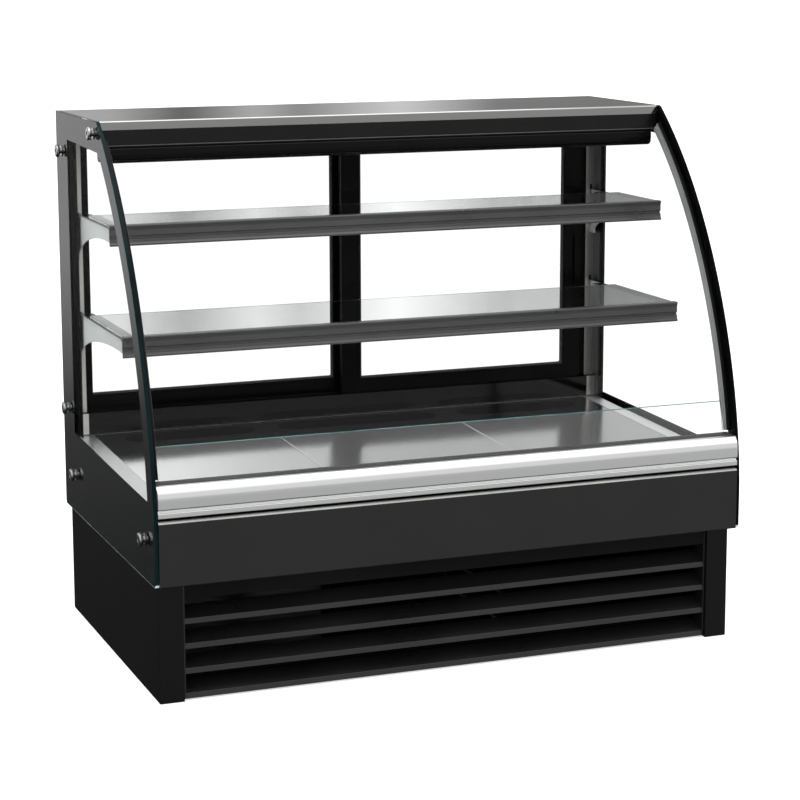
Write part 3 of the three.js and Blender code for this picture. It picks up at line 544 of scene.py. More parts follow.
def curve_point(t, distance):
    """A point on the glass's curved front edge, from the top down, moved inwards by a distance."""
    y0, z0, z1 = GLASS_BOX.y0, GLASS_BOX.z0, GLASS_BOX.z1
    controls = [(y0 + y, z1 - z) for y, z in CURVE_FROM_TOP] + [(y0 + y, z0 + z) for y, z in CURVE_FROM_FOOT]
    at, slope = bezier(controls, t)
    return at.x - slope.y * distance, at.y + slope.x * distance


def side_outline(inset, steps=56):
    """The side glass's outline, moved inwards by a distance."""
    y0, y1 = GLASS_BOX.y0 + inset, GLASS_BOX.y1 - inset
    z0, z1 = GLASS_BOX.z0 + inset, GLASS_BOX.z1 - inset
    curve = [curve_point(i / steps, inset) for i in range(steps + 1)]
    curve = [(y, z, 0) for y, z in curve if z < z1 - 0.2]
    return fillet([(y1, z0, 6), (y1, z1, 2), (curve[0][0] + 7, z1, 4), *curve, (y0, z0, 6)], 4)


WINDOW = {"edge": 44, "top": 1093, "rear": 287, "front_bottom": 417, "rear_bottom": 433}
ENAMEL = {"below": 0.3, "thickness": 0.2, "margin": 0.9}


def window_outline(steps=48):
    """The clear window in the enamel: it follows the curved edge at a constant distance."""
    points = [curve_point(i / steps * 1.05 - 0.07, WINDOW["edge"]) for i in range(steps + 1)]
    front = [p for p in points if WINDOW["front_bottom"] < p[1] < WINDOW["top"]]
    corner = (front[-1][0], WINDOW["front_bottom"])
    return [(WINDOW["rear"], WINDOW["top"]), *front, corner, (WINDOW["rear"], WINDOW["rear_bottom"])]


def stud_centre(side, place):
    box = Span(f"stud_{side}_{place}")
    return (box.y0 + box.y1) / 2, (box.z0 + box.z1) / 2


STUD_PLACES = ("top_front", "top_rear", "middle_rear", "bottom_rear", "bottom_front")
STUD_STAND = 14
STUD_HOLE = 5
# Radius and distance outwards from the glass: shank, washer, neck, and a dished cap.
STUD_SHANK = 4.5
STUD_PROFILE = [(STUD_SHANK, 0.3), (12, 0.3), (12, 1.4), (11.4, 1.9), (6.5, 1.9), (6.5, 6.4), (12.6, 6.6),
                (13.7, 7.4), (14, 8.6), (14, 11.6), (13.6, 12.7), (12.4, 13.4), (10, 13.9), (5.2, 14),
                (4.6, 13.4), (4.4, 9.5), (0, 9)]


def side_glasses():
    """Clear panes with a border of black enamel just under their outer faces."""
    for side, sign in SIDES.items():
        box = Span(f"side_glass_{side}")
        holes = [circle(*stud_centre(side, place), STUD_HOLE) for place in STUD_PLACES]
        pane = Shape().plate([side_outline(0), *holes], "x", box.x0, box.x1, 0, 1)
        pane.mark(2, lambda face, middle: face.material_index == 1 and middle.z < box.z0 + 6)
        # The right pane's edges take the near-black tint as painted shade; the left pane's edges are teal.
        edge = EDGE_TEAL if side == "left" else EDGE_SHADE
        pane.build(f"pane_{side}", "case", [SIDE_CLEAR, edge, EDGE_GROUND], f"side_glass_{side}",
                   "clear_glass", bevel=0.7, grain="z")
        outer = box.x0 if sign < 0 else box.x1
        front = outer - sign * ENAMEL["below"]
        loops = [side_outline(ENAMEL["margin"]), window_outline(), *holes]
        enamel = Shape().plate(loops, "x", *sorted((front, front - sign * ENAMEL["thickness"])))
        enamel.mark(1, lambda face, middle: abs(middle.x - front) < 0.05)
        enamel.build(f"enamel_{side}", "case", [ENAMEL_BACK, ENAMEL_FACE], grain="z")


def studs():
    """Bright caps that hold the side glasses, each on a washer and a neck."""
    for side, sign in SIDES.items():
        for place in STUD_PLACES:
            node = f"stud_{side}_{place}"
            box = Span(node)
            shank = box.x1 - box.x0 - STUD_STAND
            glass = box.x1 - shank if sign < 0 else box.x0 + shank
            outwards = [(0, -shank), (STUD_SHANK, -shank), *STUD_PROFILE]
            profile = [(radius, sign * distance) for radius, distance in outwards]
            Shape().lathe(profile, "x", (glass, *stud_centre(side, place)), 56).build(
                f"cap_{side}_{place}", "case", CHROME, node, "polished_steel")


EDGE_STRIP = {"rib": 18.6, "from": 0.03, "to": 0.8, "steps": 72}


def edge_profiles():
    """The curved strips inside the side glasses: a broad light face, a groove and a narrow rib."""
    steps, start, sweep = EDGE_STRIP["steps"], EDGE_STRIP["from"], EDGE_STRIP["to"] - EDGE_STRIP["from"]
    for side, sign in SIDES.items():
        box = Span(f"edge_profile_{side}")
        glass, face = (box.x0, box.x1) if sign < 0 else (box.x1, box.x0)
        depth = abs(glass - face)
        section = fillet([
            (44, 0, 0), (44, depth - 3, 2.5), (40, depth, 1.5), (27.5, depth, 1), (26.5, depth - 3.5, 0.8),
            (24, depth - 3.5, 0.8), (23, depth - 0.6, 1), (18.5, depth - 0.6, 1), (17.5, depth - 4, 1),
            (14, depth - 4.5, 1), (14, 0, 0)], 3)
        loops = []
        for i in range(steps + 1):
            t = start + sweep * i / steps
            loops.append([(glass - sign * height, *curve_point(t, distance)) for distance, height in section])
        shape = Shape().rings(loops)
        for number, face in enumerate(shape.bm.faces):
            face.material_index = int(section[number % len(section)][0] < EDGE_STRIP["rib"])
        shape.build(f"curved_strip_{side}", "case", [STRIP_GREY, BLACK], f"edge_profile_{side}",
                    "grey_profile", grain="z")


# ------ front of the case

def front_skirt():
    """A folded sheet whose top edge is rounded over, with a pale band on its top fillet that is a painted
    highlight.
    """
    b = Span("front_skirt")
    sheet, lip = 3, b.z1 - 2
    inside = b.y0 + sheet
    skirt = bar(b, [
        (b.y1, b.z0, 0), (b.y1, b.z0 + sheet, 0), (inside, b.z0 + sheet, 1), (inside, b.z1 - sheet, 6),
        (b.y1, b.z1 - sheet, 0), (b.y1, b.z1, 0), (b.y0 + 16, b.z1, 2), (b.y0 + 12, lip, 2),
        (b.y0, lip, 9), (b.y0, b.z0, 2)], 8)
    # The top fillet's front faces take the pale paint, a painted highlight.
    skirt.mark(1, lambda face, middle: len(face.verts) == 4 and abs(middle.z - b.z1 + 3.5) < 2.5
               and middle.y < b.y0 + 12)
    skirt.build("skirt", "case", [SKIRT_PAINT, SKIRT_HIGHLIGHT], "front_skirt", "black_paint")


def bumper():
    """A bright extrusion: a broad rounded face over a narrow ribbed one."""
    b = Span("bumper_profile")
    bar(b, [
        (b.y1, b.z0, 0), (b.y1, b.z1, 0), (b.y0 + 12, b.z1, 7), (b.y0 + 3, b.z1 - 10, 16),
        (b.y0, b.z1 - 26, 40), (b.y0 + 0.4, b.z0 + 17, 4), (b.y0 + 4.5, b.z0 + 14.6, 1.5),
        (b.y0 + 6, b.z0 + 12, 1.2), (b.y0 + 1.6, b.z0 + 10, 1.5), (b.y0 + 1, b.z0, 1)], 7).build(
            "bumper", "case", ALUMINIUM, "bumper_profile", "bright_aluminium")


def low_glass():
    """The leaning front pane, and the rubber channel it stands in."""
    b = Span("low_front_glass")
    thick = 6
    lean = b.y1 - b.y0 - thick
    pane = bar(b, [(b.y0, b.z0, 0), (b.y0 + thick, b.z0, 0), (b.y0 + lean + thick, b.z1, 1.2),
                   (b.y0 + lean, b.z1, 1.2)], 3)
    pane.mark(1, lambda face, middle: middle.z > b.z1 - 1.3)
    pane.build("front_pane", "case", [GLASS, EDGE_BRIGHT], "low_front_glass", "clear_glass")
    s = Span("glass_seal")
    foot, play, wall = b.z0 - 0.3, 0.3, 5.5
    top_y, foot_y = (b.y0 + lean * (z - b.z0) / (b.z1 - b.z0) for z in (s.z1, foot))
    bar(s, [
        (s.y0, s.z0, 0), (b.y0 + thick + wall, s.z0, 1), (top_y + thick + wall, s.z1 - 2, 1.5),
        (top_y + thick + play, s.z1, 1), (foot_y + thick + play, foot, 0), (foot_y - play, foot, 0),
        (top_y - play, s.z1, 1), (s.y0, s.z1 - 1.5, 2)], 4).build(
            "front_seal", "case", RUBBER, "glass_seal", "seal_rubber")


LOUVRES = {"count": 4, "pitch": 52.3, "lip": 10, "skin": 2, "depth": 38, "rise": 20}
GRILLE_RAIL = {"bottom": 212, "depth": 26}


def grille():
    """Blades with a rolled front lip between end plates, and a top rail darkened with painted shade."""
    b = Span("louvre_grille")
    lip, skin, low = LOUVRES["lip"], LOUVRES["skin"], GRILLE_RAIL["bottom"]
    rear, front, top = b.y0 + GRILLE_RAIL["depth"], b.y0 + skin, b.z1 - skin
    blade_rear = b.y0 + LOUVRES["depth"]
    inner0, inner1 = b.x0 + 3, b.x1 - 3
    # The top rail takes the dull paint as painted shade under the skirt's overhang.
    shape = Shape().extrude(fillet([
        (b.y0, low, 1), (front, low, 0.5), (front, top, 1), (rear, top, 0), (rear, b.z1, 0),
        (b.y0, b.z1, 2)], 4), "x", inner0, inner1, slot=1)
    for i in range(LOUVRES["count"]):
        z = b.z0 + i * LOUVRES["pitch"]
        tail = z + lip + LOUVRES["rise"]
        shape.extrude(fillet([
            (b.y0, z, 0.9), (front, z, 0.9), (front + 1, z + lip - 1, 1), (blade_rear, tail, 0.5),
            (blade_rear, tail + skin, 0.5), (b.y0 + 2.2, z + lip + 1.2, 1.2)], 4), "x", inner0, inner1)
    for x0, x1 in ((b.x0, inner0), (inner1, b.x1)):
        shape.box(x0, x1, b.y0, b.y1, b.z0, b.z1, radius=1)
    shape.build("grille", "grille", [GRILLE, MATT_AND_SHADE_PAINT], "louvre_grille", "plinth_paint")


# ------ deck trays

TRAY = {"slope": 0.031, "skin": 1.5, "depth": 11, "bend": 1.6}
PERFORATION = {"pitch": 7.2, "hole": 2.3, "sides": 8, "front": 202, "rear": 276}
AIR_GRILLES = {"middle": (-196, 196), "right": (252, 555), "left": (-555, -252)}


def deck_tray(name, from_x, to_x):
    """A tray with turned-down edges, and an air grille of round holes with half-round ends."""
    b = Span(f"deck_tray_{name}")
    pitch, front, bend = PERFORATION["pitch"], PERFORATION["front"], TRAY["bend"]
    rows = int((PERFORATION["rear"] - front) // pitch)
    columns = int((to_x - from_x) // pitch)
    left = (from_x + to_x) / 2 - columns * pitch / 2
    radius = rows * pitch / 2

    def top(y):
        return b.z1 - TRAY["slope"] * (b.y1 - y)

    def holed(i, j):
        across, along = (i - 0.5) * pitch, (j - 0.5) * pitch
        past_end = max(radius - across, across - columns * pitch + radius, 0)
        return 0 < i <= columns and 0 < j <= rows and math.hypot(past_end, along - radius) < radius - 1.5

    xs = [b.x0 + bend, *[left + i * pitch for i in range(columns + 1)], b.x1 - bend]
    ys = [b.y0 + bend, *[front + j * pitch for j in range(rows + 1)], b.y1 - bend]
    shape = Shape()
    bm = shape.bm
    levels = (0.0, -TRAY["skin"])
    grid = [[[bm.verts.new((x, y, top(y) + z)) for y in ys] for x in xs] for z in levels]
    for i in range(len(xs) - 1):
        for j in range(len(ys) - 1):
            corners = ((i, j), (i + 1, j), (i + 1, j + 1), (i, j + 1))
            cell = [[level[a][c] for a, c in corners] for level in grid]
            if holed(i, j):
                pierced_cell(bm, cell, (xs[i] + xs[i + 1]) / 2, (ys[j] + ys[j + 1]) / 2, top)
            else:
                bm.faces.new(cell[0])
                bm.faces.new(reversed(cell[1]))
    turned_edges(bm, grid, top, b)
    shape.build(f"tray_{name}", f"tray_{name}", [DECK_STEEL, INSIDE_BLACK_AND_SHADE], f"deck_tray_{name}",
                "brushed_stainless")


def pierced_cell(bm, cell, x, y, top):
    """A square of sheet, as its upper and lower corners, with a round hole through its middle."""
    sides, radius = PERFORATION["sides"], PERFORATION["hole"]
    turns = [math.radians(-135 + 360 * k / sides) for k in range(sides)]
    points = [(x + radius * math.cos(t), y + radius * math.sin(t)) for t in turns]
    upper, lower = [[bm.verts.new((px, py, top(py) + z)) for px, py in points] for z in (0.0, -TRAY["skin"])]
    quarter = sides // 4
    for square, ring, turn in ((cell[0], upper, 1), (cell[1], lower, -1)):
        for k in range(4):
            run = [ring[(k * quarter + m) % sides] for m in range(quarter + 1)]
            bm.faces.new([square[k], square[(k + 1) % 4], *reversed(run)][::turn])
    for k in range(sides):
        m = (k + 1) % sides
        # The hole walls take the second slot, near-black, as painted shade inside the holes.
        bm.faces.new([upper[k], upper[m], lower[m], lower[k]]).material_index = 1


def turned_edges(bm, grid, top, b):
    """Joins a tray's two faces to edges that bend down all round."""
    skin, depth, bend = TRAY["skin"], TRAY["depth"], TRAY["bend"]
    outer, inner = border(grid[0]), border(grid[1])
    middle = ((b.x0 + b.x1) / 2, (b.y0 + b.y1) / 2)
    reach = ((b.x1 - b.x0) / 2 - bend, (b.y1 - b.y0) / 2 - bend)

    def moved(v, out, down):
        place = []
        for value, centre, half in zip(v.co, middle, reach):
            on_side = abs(abs(value - centre) - half) < 1e-3
            place.append(value + (math.copysign(out, value - centre) if on_side else 0))
        return bm.verts.new((*place, top(place[1]) - down))

    rows = [outer]
    for k in range(1, 5):
        turn = math.radians(90 * k / 4)
        rows.append([moved(v, bend * math.sin(turn), bend * (1 - math.cos(turn))) for v in outer])
    for out, down in ((bend, depth), (bend - skin, depth), (bend - skin, skin + 0.5)):
        rows.append([moved(v, out, down) for v in outer])
    rows.append(inner)
    for first, second in zip(rows, rows[1:]):
        for i in range(len(first)):
            j = (i + 1) % len(first)
            bm.faces.new([first[i], first[j], second[j], second[i]])


def border(grid):
    """The grid's outside vertices in order."""
    front, rear = [column[0] for column in grid], [column[-1] for column in grid]
    return front[:-1] + grid[-1][:-1] + rear[:0:-1] + grid[0][:0:-1]


# ------ shelves

def shelf(name):
    """A grooved price rail, a glass sheet and two brackets."""
    r = Span(f"{name}_price_rail")
    body = f"{name}_shelf"
    f, t = r.y0 + 1.5, r.z1
    bar(r, [
        (r.y1, t, 0), (f + 1.5, t, 0.8), (f + 0.2, t - 2.2, 1), (f + 2.6, t - 11, 14),
        (f + 2, t - 22.5, 1), (f + 5.5, t - 24.2, 1), (f + 5.5, t - 28.6, 1), (f + 2, t - 30.2, 1),
        (f + 1.4, t - 36.5, 4), (f - 1.5, t - 41, 1.6), (f - 0.2, r.z0, 1), (f + 3.6, r.z0, 1),
        (f + 5.5, r.z0 + 9, 2), (f + 8, t - 24, 1), (f + 8, t - 9, 1), (r.y1, t - 9, 0)], 4).build(
            f"{name}_rail", body, RAIL, f"{name}_price_rail", "grey_profile")
    g = Span(f"{name}_shelf_glass")
    pane = Shape().extrude(rectangle(g.x0, g.x1, g.y0, g.y1, 3), "z", g.z0, g.z1)
    pane.mark(1, lambda face, middle: abs(face.normal.z) < 0.5)
    # The left side face takes the pale grey as painted light; the other edges stay dark.
    pane.mark(2, lambda face, middle: middle.x < g.x0 + 1)
    pane.build(f"{name}_glass", body, [SHELF_CLEAR, EDGE_DARK, EDGE_PAINTED_LIGHT], f"{name}_shelf_glass",
               "clear_glass", bevel=0.6)
    for side in SIDES:
        bracket(name, side, body)


# Distances out from the case's middle, and down from a bracket's top.
BRACKET = {"web": (634.0, 637.0), "flange": (616.0, 642.0), "flange_rear": 262, "flange_thickness": 2.4,
           "nose": 34, "heel": 104, "hooks": 86.7}
HOOKS = {"pitch": 37, "hook": 12, "slot": 26, "slot_drop": 94}


def bracket(name, side, body):
    """An arched steel bracket: a web, a ledge under the glass painted black as painted shade, and hooks in
    the upright.
    """
    node = f"{name}_shelf_bracket_{side}"
    b = Span(node)
    top, start, rear = b.z1, b.y0, b.y1 - 3.2
    web, flange = (sorted(SIDES[side] * x for x in BRACKET[part]) for part in ("web", "flange"))
    heel, nose, under = rear - 22, start + 26, top - BRACKET["nose"]
    controls = ((nose, under), (nose + 44, top - 30), (heel - 68, under), (heel, top - 92))
    arch = [tuple(bezier(controls, i / 24)[0]) for i in range(2, 25)]
    nose_round = fillet([(start, top, 0), (start, under, 5), (nose, under, 6), (nose + 30, top - 31, 0)], 5)
    foot = top - BRACKET["heel"]
    shape = Shape().extrude(nose_round[:-1] + arch + [(heel, foot), (rear, foot), (rear, top)], "x", *web)
    # The ledge takes black paint: painted shade between the glass and the bracket.
    ledge = rectangle(start, BRACKET["flange_rear"], top - BRACKET["flange_thickness"], top, 0.8)
    shape.extrude(ledge, "x", *flange, slot=1)
    for step in (0, 2):
        z = top - BRACKET["hooks"] + step * HOOKS["pitch"]
        shape.extrude(rectangle(rear - 6, b.y1, z, z + HOOKS["hook"], 1), "x", *web)
    shape.build(f"{name}_bracket_{side}", body, [BRACKET_GREY, BLACK], node, "bracket_paint", bevel=0.35)


# ------ doors and doorway

PULL = {"half_width": 8, "bottom": 700, "top": 820}
GASKET_HEIGHT = 3.2


def door(side):
    """A black extruded frame with a finger pull, a pane and its gasket."""
    f = Span(f"door_{side}_frame")
    g = Span(f"door_{side}_glass")
    body = f"door_{side}"
    x0, x1, z0, z1 = g.x0 + 6, g.x1 - 6, g.z0 + 6, g.z1 - 6
    middle = (f.y0 + f.y1) / 2
    pull_x = (f.x0 + x0) / 2 if side == "left" else (f.x1 + x1) / 2
    pull = (pull_x - PULL["half_width"], pull_x + PULL["half_width"])
    heights = (PULL["bottom"], PULL["top"])
    loops = [rectangle(f.x0, f.x1, f.z0, f.z1, 1), rectangle(x0, x1, z0, z1, 1.5),
             rectangle(*pull, *heights, 7.5, 6)]
    shape = Shape().plate(loops, "y", f.y0, f.y1)
    shape.box(*pull, middle - 3, middle - 1, *heights)
    shape.build(f"{side}_door_frame", body, BLACK, f"door_{side}_frame", "black_paint", bevel=0.7)
    Shape().box(g.x0 + 0.3, g.x1 - 0.3, g.y0, g.y1, g.z0 + 0.3, g.z1 - 0.3).build(
        f"{side}_door_pane", body, GLASS, f"door_{side}_glass", "clear_glass", bevel=0.4)
    loops = [rectangle(x0 - 0.5, x1 + 0.5, z0 - 0.5, z1 + 0.5, 1.5),
             rectangle(x0 + 4, x1 - 4, z0 + 4, z1 - 4, 3)]
    gasket = Shape()
    for y0, y1 in ((g.y1, g.y1 + GASKET_HEIGHT), (g.y0 - GASKET_HEIGHT, g.y0)):
        gasket.plate(loops, "y", y0, y1)
    gasket.build(f"{side}_door_gasket", body, RUBBER, record_slot="seal_rubber", bevel=0.6)


UPRIGHT = {"bottom": 472, "sheet": 3, "wing": 2, "wing_split": 284, "cover_front": 301.2,
           "cover_rear": 303.2, "slot_x": 635.5, "slot_half": 2.7}


def upright(side):
    """A bright face with slots for the hooks, a dark wing by the glass, and a short cover at the sill."""
    b = Span(f"shelf_strip_{side}")
    sign = SIDES[side]
    slot_x, half = sign * UPRIGHT["slot_x"], UPRIGHT["slot_half"]
    slots = []
    for level in ("upper", "lower"):
        for step in (0, 2):
            z = Span(f"{level}_shelf_glass").z1 - HOOKS["slot_drop"] + step * HOOKS["pitch"]
            slots.append(rectangle(slot_x - half, slot_x + half, z, z + HOOKS["slot"], 1.5))
    outer, inner = (b.x0, b.x1) if sign < 0 else (b.x1, b.x0)
    wing = outer - sign * UPRIGHT["wing"]
    face0, face1 = sorted((wing - sign * 0.1, inner))
    bottom, split, rear = UPRIGHT["bottom"], UPRIGHT["wing_split"], UPRIGHT["cover_rear"]
    loops = [rectangle(face0, face1, bottom, b.z1, 1), *slots]
    shape = Shape().plate(loops, "y", b.y1 - UPRIGHT["sheet"], b.y1)
    shape.box(face0, face1, UPRIGHT["cover_front"], rear, b.z0, bottom - 0.2)
    for low, high, y1 in ((b.z0, bottom, rear), (bottom, b.z1, b.y1)):
        shape.box(*sorted((wing, outer)), split, y1, low, high, slot=1)
        shape.box(*sorted((wing, outer)), b.y0, split, low, high, slot=2)
    shape.build(f"upright_{side}", "case", [UPRIGHT_STEEL, UPRIGHT_DARK, BLACK], f"shelf_strip_{side}",
                "brushed_stainless", bevel=0.35, grain="z")


def grain_for(piece, grain):
    """The grain map for a CAD node in brushed metal."""
    bm = bmesh.new()
    bm.from_mesh(piece.data)
    grain_uv(bm, grain)
    bm.to_mesh(piece.data)
    bm.free()
    return piece


# ------ canopy

LAMP_SLOT = (42, 72)


def canopy():
    """A folded top plate, a fascia with a thin grey lip below it as a painted highlight line, and the lamp's
    rounded housing.
    """
    t = Span("top_plate")
    skin = 2
    under, front, rear = t.z1 - skin, t.y0 + skin, t.y1 - skin
    bar(t, [
        (t.y0, t.z0, 0.5), (front, t.z0, 0.5), (front, under, 1.2), (rear, under, 1.2), (rear, t.z0, 0.5),
        (t.y1, t.z0, 0.5), (t.y1, t.z1, 3), (t.y0, t.z1, 3)], 6).build(
            "canopy_top", "case", TOP_STEEL, "top_plate", "brushed_stainless")
    c = Span("canopy_fascia")
    sheet = 3
    bar(c, [
        (c.y0, c.z0, 1.6), (c.y1, c.z0, 0), (c.y1, c.z0 + sheet, 0), (c.y0 + sheet, c.z0 + sheet, 1),
        (c.y0 + sheet, c.z1, 0), (c.y0, c.z1, 0)], 5).build(
            "fascia", "case", FASCIA, "canopy_fascia", "black_paint")
    # A thin grey strip under the fascia: a painted highlight along its lower edge.
    Shape().box(c.x0, c.x1, c.y0 + 5, c.y0 + 6.5, c.z0 - 2.4, c.z0 + 0.5, radius=0.4).build(
        "fascia_lip_painted_highlight", "case", LIP_HIGHLIGHT_GREY, record_slot="black_paint")
    h = Span("lamp_housing")
    slot0, slot1 = LAMP_SLOT
    bar(h, [
        (h.y0 + 5, h.z1, 0), (h.y0 + 5, h.z1 - 4.5, 1), (h.y0 + 0.3, h.z1 - 7, 2.5), (h.y0, h.z1 - 20, 10),
        (h.y0 + 2, h.z0 + 5, 9), (h.y0 + 14, h.z0, 10), (slot0, h.z0, 1), (slot0, h.z0 + 7, 0),
        (slot1, h.z0 + 7, 0), (slot1, h.z0, 1), (h.y1, h.z0, 10), (h.y1, h.z1, 0)], 7).build(
            "lamp_body", "case", HOUSING, "lamp_housing", "black_plastic")


# ------ plain CAD nodes and their small parts

# The plain CAD nodes by their material and the width of their rounded edges.
PLAIN_NODES = [
    (BLACK, 0.6, ["rear_jamb_left", "rear_jamb_right", "door_track_top", "rear_service_panel"]),
    # The parts inside the plinth are near-black: partly their own black finish, partly painted shade.
    (INSIDE_BLACK_AND_SHADE, 0.8, ["chassis_tray", "base_runner_left", "base_runner_right", "condenser_shroud"]),
    (INSIDE_BLACK_AND_SHADE, 0, ["condenser_coil", "compressor"]),
    (PLASTIC, 0.4, ["condenser_fan", "evaporator_fan"]), (PLASTIC, 0.5, ["temperature_controller"]),
    (PLASTIC, 0.6, ["power_switch"]), (SILL_BLACK, 0.6, ["door_track_bottom"]),
    (OPAL, 0.5, ["led_diffuser"]), (ZINC, 0.4, ["evaporator_fan_plate"])]


def dress_some(piece, material, chosen):
    """Gives a second material to the faces of a CAD node that a test chooses."""
    piece.data.materials.append(material)
    for polygon in piece.data.polygons:
        polygon.material_index = int(chosen(polygon))


def plinth_sides():
    """Painted plinth sides. Their flat outer faces are duller than the front posts."""
    for side in SIDES:
        dress_some(dress(f"plinth_side_{side}", PLINTH, 1.0), MATT_AND_SHADE_PAINT,
                   lambda face: abs(face.normal.x) > 0.9)


def tub():
    """The insulated tub: a bright rolled rim, and near-black paint below the deck as painted shade."""
    piece = grain_for(dress("insulated_tub", LEDGE_STEEL, 0.6), "y")
    below_deck = (Span("deck_tray_left").z0 - 1) * MM
    dress_some(piece, INSIDE_BLACK_AND_SHADE, lambda face: face.center.z < below_deck)


def panel_screws():
    """The round-headed screws that hold the service panel."""
    p = Span("rear_service_panel")
    inset, middle = 14, 360
    profile = [(0, -1.5), (2.25, -1.5), (4.5, 0), (4.5, 0.5), (3.825, 1.3), (2.25, 1.9), (0.9, 2.1),
               (0.72, 1.2), (0, 1.2)]
    shape = Shape()
    for x in (p.x0 + inset, -middle, middle, p.x1 - inset):
        for z in (p.z0 + inset, p.z1 - inset):
            shape.lathe(profile, "y", (x, p.y1, z), 20)
    shape.build("panel_screws", "case", ZINC, record_slot="galvanised_steel")


def controls():
    """The controller's display and keys, with no lettering."""
    c = Span("temperature_controller")
    face = c.y1 - 0.9
    window = rectangle(c.x0 + 28, c.x0 + 58, c.z0 + 15, c.z1 - 15, 2)
    Shape().extrude(window, "y", face - 0.5, face + 0.3).build(
        "controller_display", "case", SILL_BLACK, record_slot="black_plastic")
    keys = Shape()
    for column in range(2):
        for row in range(2):
            x, z = c.x0 + 16 + column * 7.5, c.z0 + 19.5 + row * 11
            keys.extrude(rectangle(x - 2.8, x + 2.8, z - 3.5, z + 3.5, 1.2), "y", face - 0.5, face + 0.6)
    keys.build("controller_keys", "case", RUBBER, record_slot="black_plastic", bevel=0.3)


PIPE = {"radius": 4.8, "bend": 16}


def pipes():
    """Copper pipes: from the compressor to the condenser, and from the condenser up to the tub."""
    k, c, tub_floor = Span("compressor"), Span("condenser_coil"), Span("insulated_tub").z0
    middle = (k.y0 + k.y1) / 2
    high, low, behind, out = k.z0 + 60, k.z0 + 12, k.x0 - 74, k.x0 - 50
    runs = {
        "discharge": [(k.x0 + 22, middle, high + 30), (k.x0 - 30, middle, high + 30), (out, middle, high),
                      (out, c.y1 - 8, high), (c.x1 + 12, c.y1 - 20, high), (c.x1 - 3, c.y1 - 20, high)],
        "liquid": [(behind, middle + 30, tub_floor), (behind, middle + 30, low), (behind, c.y1 - 18, low),
                   (c.x1 + 14, c.y1 - 34, low), (c.x1 - 3, c.y1 - 34, low)],
    }
    for name, corners in runs.items():
        path = rounded_path(corners, PIPE["bend"])
        Shape().tube(path, PIPE["radius"]).build(f"{name}_pipe", "case", COPPER)


def rounded_path(corners, radius, steps=6):
    """A path through corners in space, with each inner corner rounded."""
    points = [Vector(c) for c in corners]
    path = [points[0]]
    for before, at, after in zip(points, points[1:], points[2:]):
        back, ahead = before - at, after - at
        reach = min(radius, 0.45 * back.length, 0.45 * ahead.length)
        start, end = at + back.normalized() * reach, at + ahead.normalized() * reach
        for i in range(steps + 1):
            t = i / steps
            path.append(start.lerp(at, t).lerp(at.lerp(end, t), t))
    return [*path, points[-1]]


side_glasses()
studs()
edge_profiles()
front_skirt()
bumper()
low_glass()
grille()
for tray, (from_x, to_x) in AIR_GRILLES.items():
    deck_tray(tray, from_x, to_x)
for level in ("upper", "lower"):
    shelf(level)
for side in SIDES:
    door(side)
for material, edge, nodes in PLAIN_NODES:
    for node in nodes:
        dress(node, material, edge)
for side in SIDES:
    upright(side)
canopy()
plinth_sides()
grain_for(dress("evaporator_coil", FINS, 0), "z")
panel_screws()
controls()
pipes()
tub()


# ------ stage

CAMERA = {"at": (-1.7891, -4.6369, 1.4999), "yaw": 21.244, "pitch": -9.968, "roll": -0.114,
          "lens": 102.25, "shift": -0.0625}


def placed(name, data, at):
    """An object of the stage, in the scene."""
    thing = bpy.data.objects.new(name, data)
    bpy.context.scene.collection.objects.link(thing)
    thing.location = at
    return thing


def camera():
    data = bpy.data.cameras.new("camera")
    data.sensor_width = 36
    data.lens = CAMERA["lens"]
    data.shift_y = CAMERA["shift"]
    data.clip_start, data.clip_end = 0.05, 100
    yaw, pitch, roll = (math.radians(CAMERA[turn]) for turn in ("yaw", "pitch", "roll"))
    level = Matrix.Rotation(-yaw, 3, "Z") @ Matrix.Rotation(math.pi / 2 + pitch, 3, "X")
    seen = placed("camera", data, CAMERA["at"])
    seen.rotation_euler = (level @ Matrix.Rotation(roll, 3, "Z")).to_euler()
    bpy.context.scene.camera = seen


def floor():
    bm = bmesh.new()
    bmesh.ops.create_grid(bm, x_segments=8, y_segments=8, size=100)
    mesh = bpy.data.meshes.new("floor")
    bm.to_mesh(mesh)
    bm.free()
    ground = Finish("pale_floor")
    ground.tint(ground.noise(3, detail=3), (0.86, 0.86, 0.86), 1, 0.88 / 0.86)
    for socket, value in (("Roughness", 0.9), ("Specular IOR Level", 0.1), ("Emission Color", (1, 1, 1, 1)),
                          ("Emission Strength", 0.55)):
        ground.set(socket, value)
    mesh.materials.append(ground.material)
    piece = placed("floor", mesh, (0, 0, -0.0005))
    piece.visible_glossy = False
    piece.visible_transmission = False


# Each lamp's name, place, aim, size and power.
SOFT_BOXES = [("overhead", (0, -0.6, 3.6), (0, 0, 0.5), (3.2, 2.4), 40),
              ("front_left", (-3.4, -3.0, 3.0), (0, 0, 0.6), (2.0, 2.0), 30),
              ("front_right", (3.6, -2.6, 2.6), (0, 0, 0.6), (1.6, 2.0), 20)]


def soft_box(name, at, aim, size, power):
    data = bpy.data.lights.new(name, "AREA")
    data.shape = "RECTANGLE"
    data.size, data.size_y = size
    data.energy = power
    lamp = placed(name, data, at)
    lamp.rotation_euler = (Vector(aim) - Vector(at)).to_track_quat("-Z", "Y").to_euler()
    lamp.visible_camera = False
    lamp.visible_transmission = False


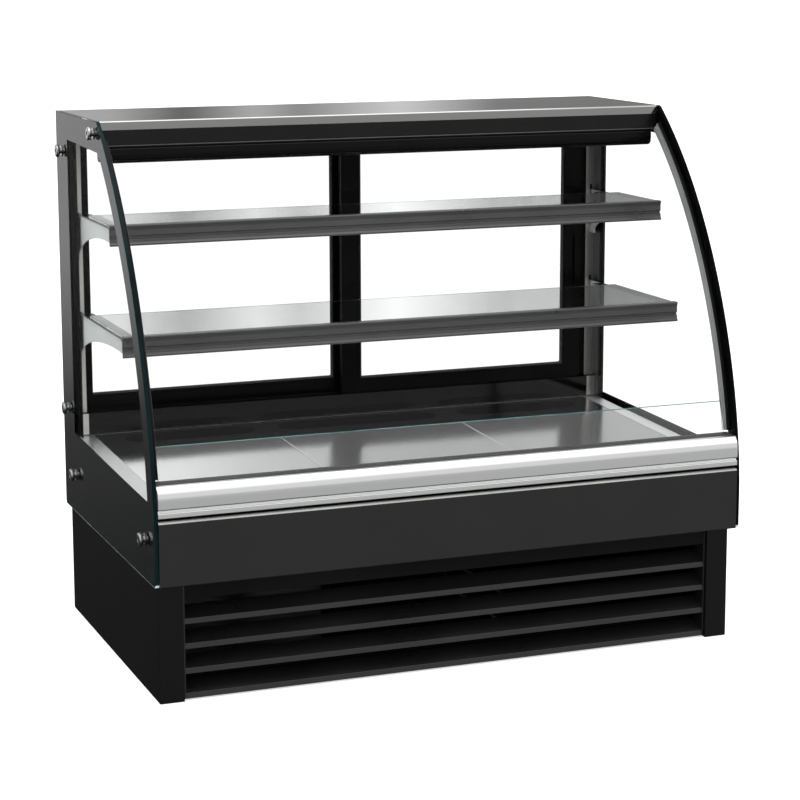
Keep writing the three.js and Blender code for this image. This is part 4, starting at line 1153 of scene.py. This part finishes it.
# The reflected room's brightness by a direction's Z, in front of the case and behind it.
FRONT_ROOM = [(-1, 0.03), (-0.4, 0.1), (-0.3, 0.56), (-0.2, 0.58), (-0.12, 0.38), (0.0, 0.42), (0.14, 0.8),
              (0.25, 1.1), (0.6, 1.2), (1, 1)]
BACK_ROOM = [(-1, 0.02), (-0.26, 0.06), (-0.2, 0.12), (-0.13, 0.75), (-0.02, 0.9), (0.04, 0.45),
             (0.08, 0.45), (0.1, 0.95), (0.17, 1.0), (0.22, 1.15), (0.6, 1.1), (1, 1)]
# Dark and light stretches of the back room by compass bearing in degrees, and at which heights they
# show: uneven ones for the shelves, and a broad fall for the deck.
SHELF_BANDS = [(-10, 0.7), (4, 0.45), (10, 0.8), (14, 0.72), (15.8, 0.15), (17.6, 0.8), (18.7, 0.45),
               (21.2, 1.2), (23.6, 0.36), (27, 0.33), (33, 0.7), (45, 0.5), (60, 0.7)]
SHELF_HEIGHTS = [(-1, 0), (0.01, 0), (0.04, 1), (0.17, 1), (0.2, 0), (1, 0)]
DECK_BANDS = [(-10, 1), (15.8, 1), (17.5, 0.68), (19, 0.58), (22, 0.44), (27, 0.46), (45, 0.5)]
DECK_HEIGHTS = [(-1, 0), (0.165, 0), (0.19, 1), (0.3, 1), (0.45, 0), (1, 0)]
BACKDROP = 1.15


def studio():
    """A white backdrop for what is seen directly and through glass, and a graded room for reflections."""
    world = bpy.data.worlds.new("studio")
    bpy.context.scene.world = world
    world.use_nodes = True
    sky = Nodes(world.node_tree)
    room, white = sky.tree.nodes["Background"], sky.add("Background")
    white.inputs["Color"].default_value = (1, 1, 1, 1)
    white.inputs["Strength"].default_value = BACKDROP
    way = sky.add("SeparateXYZ")
    sky.feed(way.inputs["Vector"], sky.add("TexCoord").outputs["Generated"])
    x, y, height = (way.outputs[axis] for axis in "XYZ")
    bearing = sky.maths("DEGREES", sky.maths("ARCTAN2", x, y))
    back = sky.ramp(height, BACK_ROOM)
    for bands, heights in ((SHELF_BANDS, SHELF_HEIGHTS), (DECK_BANDS, DECK_HEIGHTS)):
        shade = sky.maths("POWER", sky.ramp(bearing, bands), sky.ramp(height, heights))
        back = sky.maths("MULTIPLY", back, shade)
    behind = sky.spread(y, 0, 1, (-0.3, 0.3))
    sky.feed(room.inputs["Color"], sky.mix(behind, sky.ramp(height, FRONT_ROOM), back))
    rays = sky.add("LightPath").outputs
    unreflected = sky.maths("LESS_THAN", rays["Glossy Depth"], 0.5)
    through = sky.maths("MULTIPLY", rays["Is Transmission Ray"], unreflected)
    direct = sky.maths("MAXIMUM", rays["Is Camera Ray"], through)
    sky.mixed_shader(direct, room.outputs["Background"], white.outputs["Background"], "World Output")


camera()
floor()
studio()
for lamp in SOFT_BOXES:
    soft_box(*lamp)
bpy.context.scene.view_settings.view_transform = "Standard"
